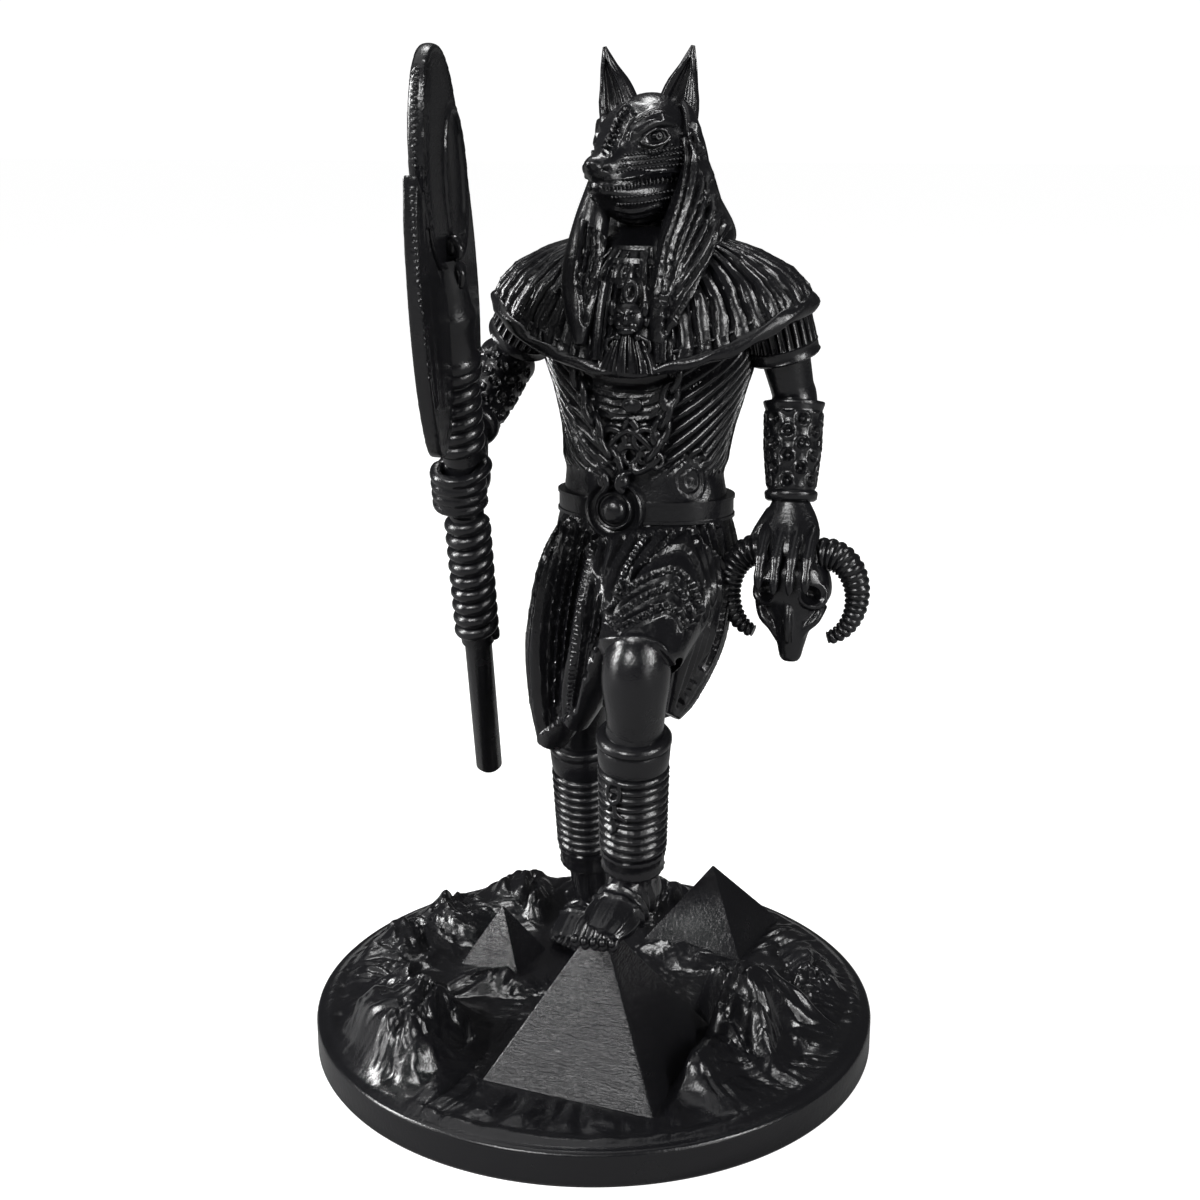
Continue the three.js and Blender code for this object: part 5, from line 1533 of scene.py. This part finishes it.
# Guide lines as they are seen in the photograph, in its pixels
BORDER = [(685, 134), (689, 155), (686, 185), (678, 215), (668, 244), (661, 278), (657, 300)]
FOLD_FIRST = [(693, 132), (700, 155), (700, 178), (692, 205), (681, 230), (670, 262), (662, 296)]
FOLD_SECOND = [(704, 150), (708, 172), (704, 196), (692, 224), (676, 262), (664, 306)]
FOLD_MIDDLE = [(714, 178), (712, 200), (700, 228), (682, 266), (664, 318)]
FOLD_LAST = [(724, 214), (718, 236), (702, 264), (682, 292), (664, 336)]
LOW_LAST = [(734, 226), (720, 252), (704, 276), (690, 296), (676, 322)]
LAPPET_INNER = [(604, 236), (608, 255), (601, 277), (593, 302), (586, 329)]
LAPPET_OUTER = [(583, 218), (579, 250), (575, 280), (579, 300), (583, 322)]
CROWN_FIRST = [(688, 126), (697, 148), (702, 174), (704, 200), (700, 226)]
CROWN_LAST = [(692, 120), (706, 140), (718, 168), (727, 196), (736, 220)]
crown = spread(CROWN_FIRST, CROWN_LAST, 5)
upper = spread(FOLD_FIRST, FOLD_SECOND, 3) + spread(FOLD_SECOND, FOLD_MIDDLE, 3)[1:]
lower = spread(FOLD_MIDDLE, FOLD_LAST, 5)[1:] + spread(FOLD_LAST, LOW_LAST, 3)[1:]
lappet = spread(LAPPET_OUTER, LAPPET_INNER, 9)
carve(hood,
      strokes("seam", 3.0, 1.1, [BORDER])
      + strokes("groove", 3.0, 2.1, upper[::2] + lower[1::2])
      + strokes("line", 4.6, 1.1, upper[1::2] + lower[::2])
      + strokes("groove", 1.2, 0.5, upper[1::2] + lower[::2])
      + strokes("groove", 3.2, 1.2, crown[1::2])
      + strokes("line", 3.4, 0.8, crown[::2])
      + strokes("groove", 2.2, 1.3, lappet[1::2])
      + strokes("line", 1.6, 0.6, lappet[::2]))
carved.append(hood)

figure = weld(carved, "figure_casting")
cut(figure, bore)
thin_out(figure, most=196000)
figure.data.materials.clear()
figure.data.materials.append(black_resin("black resin, figure", strata=False))
finish_piece(figure, "figure", crease=50)


# The staff
# A tall staff cast in one: a round rod, bound above and below the fist with cord, a flared
# socket, and a flat head where two upright horns hold a disc with a sunk oval eye.

WRAP_PITCH = 4.85
WRAP_CLEARANCE = 0.8
HEAD_THICKNESS = 2.8
DISC_LENGTH, DISC_WIDTH = 53.0, 33.0
EYE_LENGTH, EYE_WIDTH = 35.0, 16.5
HORNS_WIDTH = 51.0
GRIP_LOW = GRIP_ABOVE_FOOT - FIST_HEIGHT / 2 - WRAP_CLEARANCE
GRIP_HIGH = GRIP_ABOVE_FOOT + FIST_HEIGHT / 2 + WRAP_CLEARANCE
LOWER_TURNS, UPPER_TURNS = 9, 5
staff_foot = GRIP - staff_ahead * GRIP_ABOVE_FOOT
collar = GRIP_HIGH + UPPER_TURNS * WRAP_PITCH
neck = STAFF_LENGTH - DISC_LENGTH


def on_staff(side, back, up):
    """A place on the staff, from its foot: sideways, backwards and up the rod."""
    return (staff_foot + GRIP_FRAME @ Vector((side, back, up)))[:]


cast = [turned([[0, 0.01], [ROD * 0.8, 0], [ROD, 1], [ROD, neck + 3], [0, neck + 3.5]],
               staff_foot[:], staff_ahead[:], 40)]


# Half sizes of the cord, outwards and along the rod
CORD_ACROSS, CORD_ALONG = 2.1, 2.35


def binding(low, turns, radius):
    """Cord wound round the rod: a slow screw of close turns."""
    rows = []
    count = int(turns * 40 / FINE)
    for i in range(count + 1):
        turn = i / count * turns * TAU
        up = low + WRAP_PITCH * (0.5 + i / count * (turns - 1))
        out = radius - CORD_ACROSS
        rows.append([*on_staff(out * math.cos(turn), out * math.sin(turn), up),
                     CORD_ACROSS, CORD_ALONG])
    return strand(rows, 18, 0.8, across=staff_ahead[:])


for low, turns, radius in ((GRIP_LOW - LOWER_TURNS * WRAP_PITCH, LOWER_TURNS, WRAP),
                           (GRIP_HIGH, UPPER_TURNS, WRAP * 1.04)):
    # The rod is thicker under the cord, so that its turns stand on a core
    core_low, core_high = low + 0.6, low + turns * WRAP_PITCH - 0.6
    core = [[0, core_low], [radius - 1.4, core_low], [radius - 1.4, core_high], [0, core_high]]
    cast.append(turned(core, staff_foot[:], staff_ahead[:], 32))
    cast.append(binding(low, turns, radius))
socket_length = neck - collar
# Radius of the socket as a share of the wrap's, and share of its length
SOCKET = ((0, 0.0), (0.85, 0.0), (1.1, 0.02), (1.18, 0.05), (1.18, 0.1), (1.12, 0.12),
          (1.18, 0.14), (1.18, 0.2), (1.1, 0.22), (1.04, 0.26), (1.0, 0.4), (1.06, 0.5),
          (1.12, 0.58), (1.1, 0.62), (0.98, 0.66), (0.9, 0.8), (0.84, 0.9), (0.5, 1.08), (0, 1.1))
socket = [[WRAP * out, collar + socket_length * up] for out, up in SOCKET]
cast.append(turned(socket, staff_foot[:], staff_ahead[:], 60))


def plate(outline, thick):
    """A flat form in the plane of the staff's head, from [towards the front, up the rod]."""
    outline = np.asarray(outline)
    middle = outline.mean(axis=0)
    rings = []
    half = thick / 2
    for share, side in ((0.985, -half), (1.0, -half + 0.3), (1.0, half - 0.3), (0.985, half)):
        level = middle + (outline - middle) * share
        rings.append([on_staff(side, -front, up) for front, up in level])
    return skin(rings)


def oval(front, up, wide, long, steps):
    """The outline of an oval in the plane of the head."""
    turn = np.arange(int(steps / FINE)) / int(steps / FINE) * TAU
    return np.stack([front + wide / 2 * np.cos(turn), up + long / 2 * np.sin(turn)], axis=1)


def border(outline, wire, proud, closed=True):
    """A raised round border along an outline, standing out from both faces of the head."""
    outline = list(outline)
    if closed:
        outline += outline[:2]
    rows = [[*on_staff(0, -front, up), HEAD_THICKNESS / 2 + proud, wire] for front, up in outline]
    return strand(rows, 16, 0.9, across=staff_side[:])


disc_middle = STAFF_LENGTH - DISC_LENGTH / 2
head_middle = HORNS_WIDTH * 0.035
disc_back = head_middle - DISC_WIDTH * 0.06
eye_middle = disc_middle - (DISC_LENGTH - EYE_LENGTH) * 0.56
eye_back = head_middle - (HORNS_WIDTH - EYE_WIDTH) * 0.36
BLADE_RISE = STAFF_LENGTH * 0.342
blade_low = neck - BLADE_RISE * 0.565
# One blade from its tip down its outer edge and up the inner one: shares outwards and upwards
BLADE = ((0.745, 1), (0.9, 0.83), (1, 0.55), (1, 0.28), (0.88, 0.07), (0.7, 0), (0.5, 0.02),
         (0.34, 0.08), (0.2, 0.25), (0.14, 0.47), (0.34, 0.61), (0.54, 0.75), (0.6, 0.9),
         (0.745, 1))
head_plates = [
    plate(oval(disc_back, disc_middle, DISC_WIDTH - 0.6, DISC_LENGTH - 0.6, 72), HEAD_THICKNESS),
    border(oval(disc_back, disc_middle, DISC_WIDTH - 1.8, DISC_LENGTH - 1.8, 60), 0.85, 0.5),
    border(oval(disc_back, disc_middle, DISC_WIDTH - 6.6, DISC_LENGTH - 6.6, 60), 0.45, 0.25),
    border(oval(eye_back, eye_middle, EYE_WIDTH + 1.6, EYE_LENGTH + 1.6, 60), 0.9, 0.9),
    border(oval(eye_back, eye_middle, EYE_WIDTH + 5.6, EYE_LENGTH + 5.6, 60), 0.4, 0.3),
]
for hand in (1, -1):
    outline = [(head_middle + HORNS_WIDTH / 2 * out * hand, blade_low + BLADE_RISE * up)
               for out, up in BLADE]
    curve = smooth_line(outline, 1.2)[:-1]
    head_plates.append(plate(curve, HEAD_THICKNESS + 0.6))
    middle = curve.mean(axis=0)
    inner = [tuple(middle + (np.array(point) - middle) * 0.9) for point in outline]
    head_plates.append(border(inner[1:-1], 0.5, 0.55, closed=False))
    inmost = [tuple(middle + (np.array(point) - middle) * 0.72) for point in outline]
    head_plates.append(border(inmost[2:-2], 0.35, 0.45, closed=False))
staff_head = soften(head_plates, 0.4, 1)
# Guide lines as they are seen in the photograph, in its pixels
DISC_EDGE = [(416, 62), (414, 110), (415, 168)]
DISC_BAND = [(424, 60), (422, 112), (423, 180), (428, 230)]
BLADE_EDGE = [(412, 184), (414, 230), (418, 280), (424, 330), (430, 384)]
BLADE_BAND = [(420, 190), (423, 240), (428, 300), (434, 360), (438, 410)]
carve(staff_head,
      strokes("beads", 2.0, 0.5, [DISC_EDGE, BLADE_EDGE], 6.5)
      + strokes("line", 1.8, 0.5, [DISC_BAND, BLADE_BAND])
      + strokes("groove", 2.0, 0.45, [moved(DISC_BAND, 5, 0), moved(BLADE_BAND, 5, 0)]))
# The oval eye is sunk from both faces: depth from the middle, and share of its outline
SINK = ((0.7, 0.9), (1.3, 1.0), (4.0, 1.06))
for side in (-1, 1):
    sink = oval(eye_back, eye_middle, EYE_WIDTH - 0.6, EYE_LENGTH - 0.6, 48)
    middle = sink.mean(axis=0)
    cut(staff_head, skin([[on_staff(side * depth, -front, up)
                           for front, up in middle + (sink - middle) * share]
                          for depth, share in SINK]))
thin_out(staff_head, most=52000 / FINE**2)
cast.append(staff_head)
# The knotted ribbon round the neck of the staff, a row of soft bows: height, size and turn
BOWS = ((neck + 5.6, 2.5, 0.4), (neck - 1.2, 3.0, -0.1), (neck - socket_length * 0.42, 2.9, 0.2))
for hand in (-1, 1):
    for up, size, turn in BOWS:
        knot = on_staff(hand * 2.6, 0.6, up)
        cast.append(ball(knot, (size * 0.85, size, size), (turn, 0.2, 0), 18, 12))
        cast.append(strand([[*on_staff(hand * 3.2, -1.4, up + size * 0.9), 0.7, 0.5],
                            [*on_staff(hand * 4.6, -2.6, up + size * 0.3), 0.9, 0.6],
                            [*on_staff(hand * 4.4, -2.8, up - size * 0.7), 0.7, 0.5],
                            [*on_staff(hand * 3.0, -1.6, up - size * 1.1), 0.5, 0.4]], 10, 0.5))
staff = weld(cast, "staff_casting")
thin_out(staff, most=130000)
staff.data.materials.clear()
staff.data.materials.append(black_resin("black resin, staff", strata=False))
finish_piece(staff, "staff", crease=45)


# The studio
# A wide pale floor that runs out of sight, under a soft sun from the front. Narrow lights at
# both sides and overhead and four broad screens give the resin its reflections. The camera
# looks down from the figure's left.

def shown_to_camera(tree, to_camera, to_others, end):
    """The camera sees one shader, and reflections and bounced light see the other."""
    ray = tree.nodes.new("ShaderNodeLightPath")
    choice = tree.nodes.new("ShaderNodeMixShader")
    tree.links.new(ray.outputs["Is Camera Ray"], choice.inputs["Fac"])
    tree.links.new(to_others, choice.inputs[1])
    tree.links.new(to_camera, choice.inputs[2])
    tree.links.new(choice.outputs["Shader"], tree.nodes[end].inputs["Surface"])


bpy.ops.mesh.primitive_plane_add(size=30, location=(0, 0, 0))
floor = bpy.context.object
floor.name = "floor"
pale = bpy.data.materials.new("pale floor")
pale.use_nodes = True
paper = pale.node_tree
matt = paper.nodes["Principled BSDF"]
matt.inputs["Base Color"].default_value = (0.45, 0.45, 0.45, 1)
matt.inputs["Roughness"].default_value = 0.9
matt.inputs["Specular IOR Level"].default_value = 0.05
matt.inputs["Emission Color"].default_value = (1, 1, 1, 1)
matt.inputs["Emission Strength"].default_value = 0.86
shaded = paper.nodes.new("ShaderNodeBsdfDiffuse")
shaded.inputs["Color"].default_value = (0.26, 0.26, 0.26, 1)
shown_to_camera(paper, matt.outputs["BSDF"], shaded.outputs["BSDF"], "Material Output")
floor.data.materials.append(pale)

# The room is white to the camera and dim to all else, so that the black resin mirrors only
# the floor and the lights.
sky = bpy.data.worlds.new("studio")
sky.use_nodes = True
room = sky.node_tree
dim = room.nodes["Background"]
dim.inputs["Color"].default_value = (1, 1, 1, 1)
dim.inputs["Strength"].default_value = 0.06
white = room.nodes.new("ShaderNodeBackground")
white.inputs["Color"].default_value = (1, 1, 1, 1)
white.inputs["Strength"].default_value = 1.05
shown_to_camera(room, white.outputs["Background"], dim.outputs["Background"], "World Output")
bpy.context.scene.world = sky
bpy.context.scene.view_settings.view_transform = "Standard"


def aim(made, place, target):
    """A light stands in its place and points at the target."""
    bpy.context.scene.collection.objects.link(made)
    made.location = place
    made.rotation_euler = (Vector(target) - Vector(place)).to_track_quat("-Z", "Y").to_euler()


def soft_light(name, place, target, width, height, watts):
    lamp = bpy.data.lights.new(name, "AREA")
    lamp.shape = "RECTANGLE"
    lamp.size, lamp.size_y = width, height
    lamp.energy = watts
    aim(bpy.data.objects.new(name, lamp), place, target)


sun = bpy.data.lights.new("soft sun", "SUN")
sun.energy = 1.5
sun.angle = math.radians(18)
aim(bpy.data.objects.new("soft sun", sun), (-0.2, -0.85, 0.52), (0, 0, 0))
soft_light("left light", (-0.75, -0.35, 0.45), (0, 0, 0.15), 0.12, 0.45, 7)
soft_light("right light", (0.9, -0.25, 0.5), (0, 0, 0.15), 0.1, 0.5, 5)
soft_light("top light", (-0.1, 0.35, 1.0), (0, 0, 0.1), 0.3, 0.22, 3)
soft_light("high screen", (-0.35, 0.1, 1.5), (0, 0, 0.1), 1.5, 1.3, 5)
soft_light("front left screen", (-1.45, -0.8, 0.6), (0, 0, 0.15), 0.5, 1.5, 12)
soft_light("front screen", (-0.1, -1.8, 1.0), (0, 0, 0.15), 1.5, 0.5, 5)
soft_light("front right screen", (1.3, -0.8, 0.55), (0, 0, 0.15), 0.4, 1.5, 7)

view = bpy.data.cameras.new("camera")
view.sensor_width = SENSOR
view.lens = LENS
camera = bpy.data.objects.new("camera", view)
bpy.context.scene.collection.objects.link(camera)
camera.location = Vector(EYE) * MM
camera.rotation_euler = EYE_TURN
bpy.context.scene.camera = camera
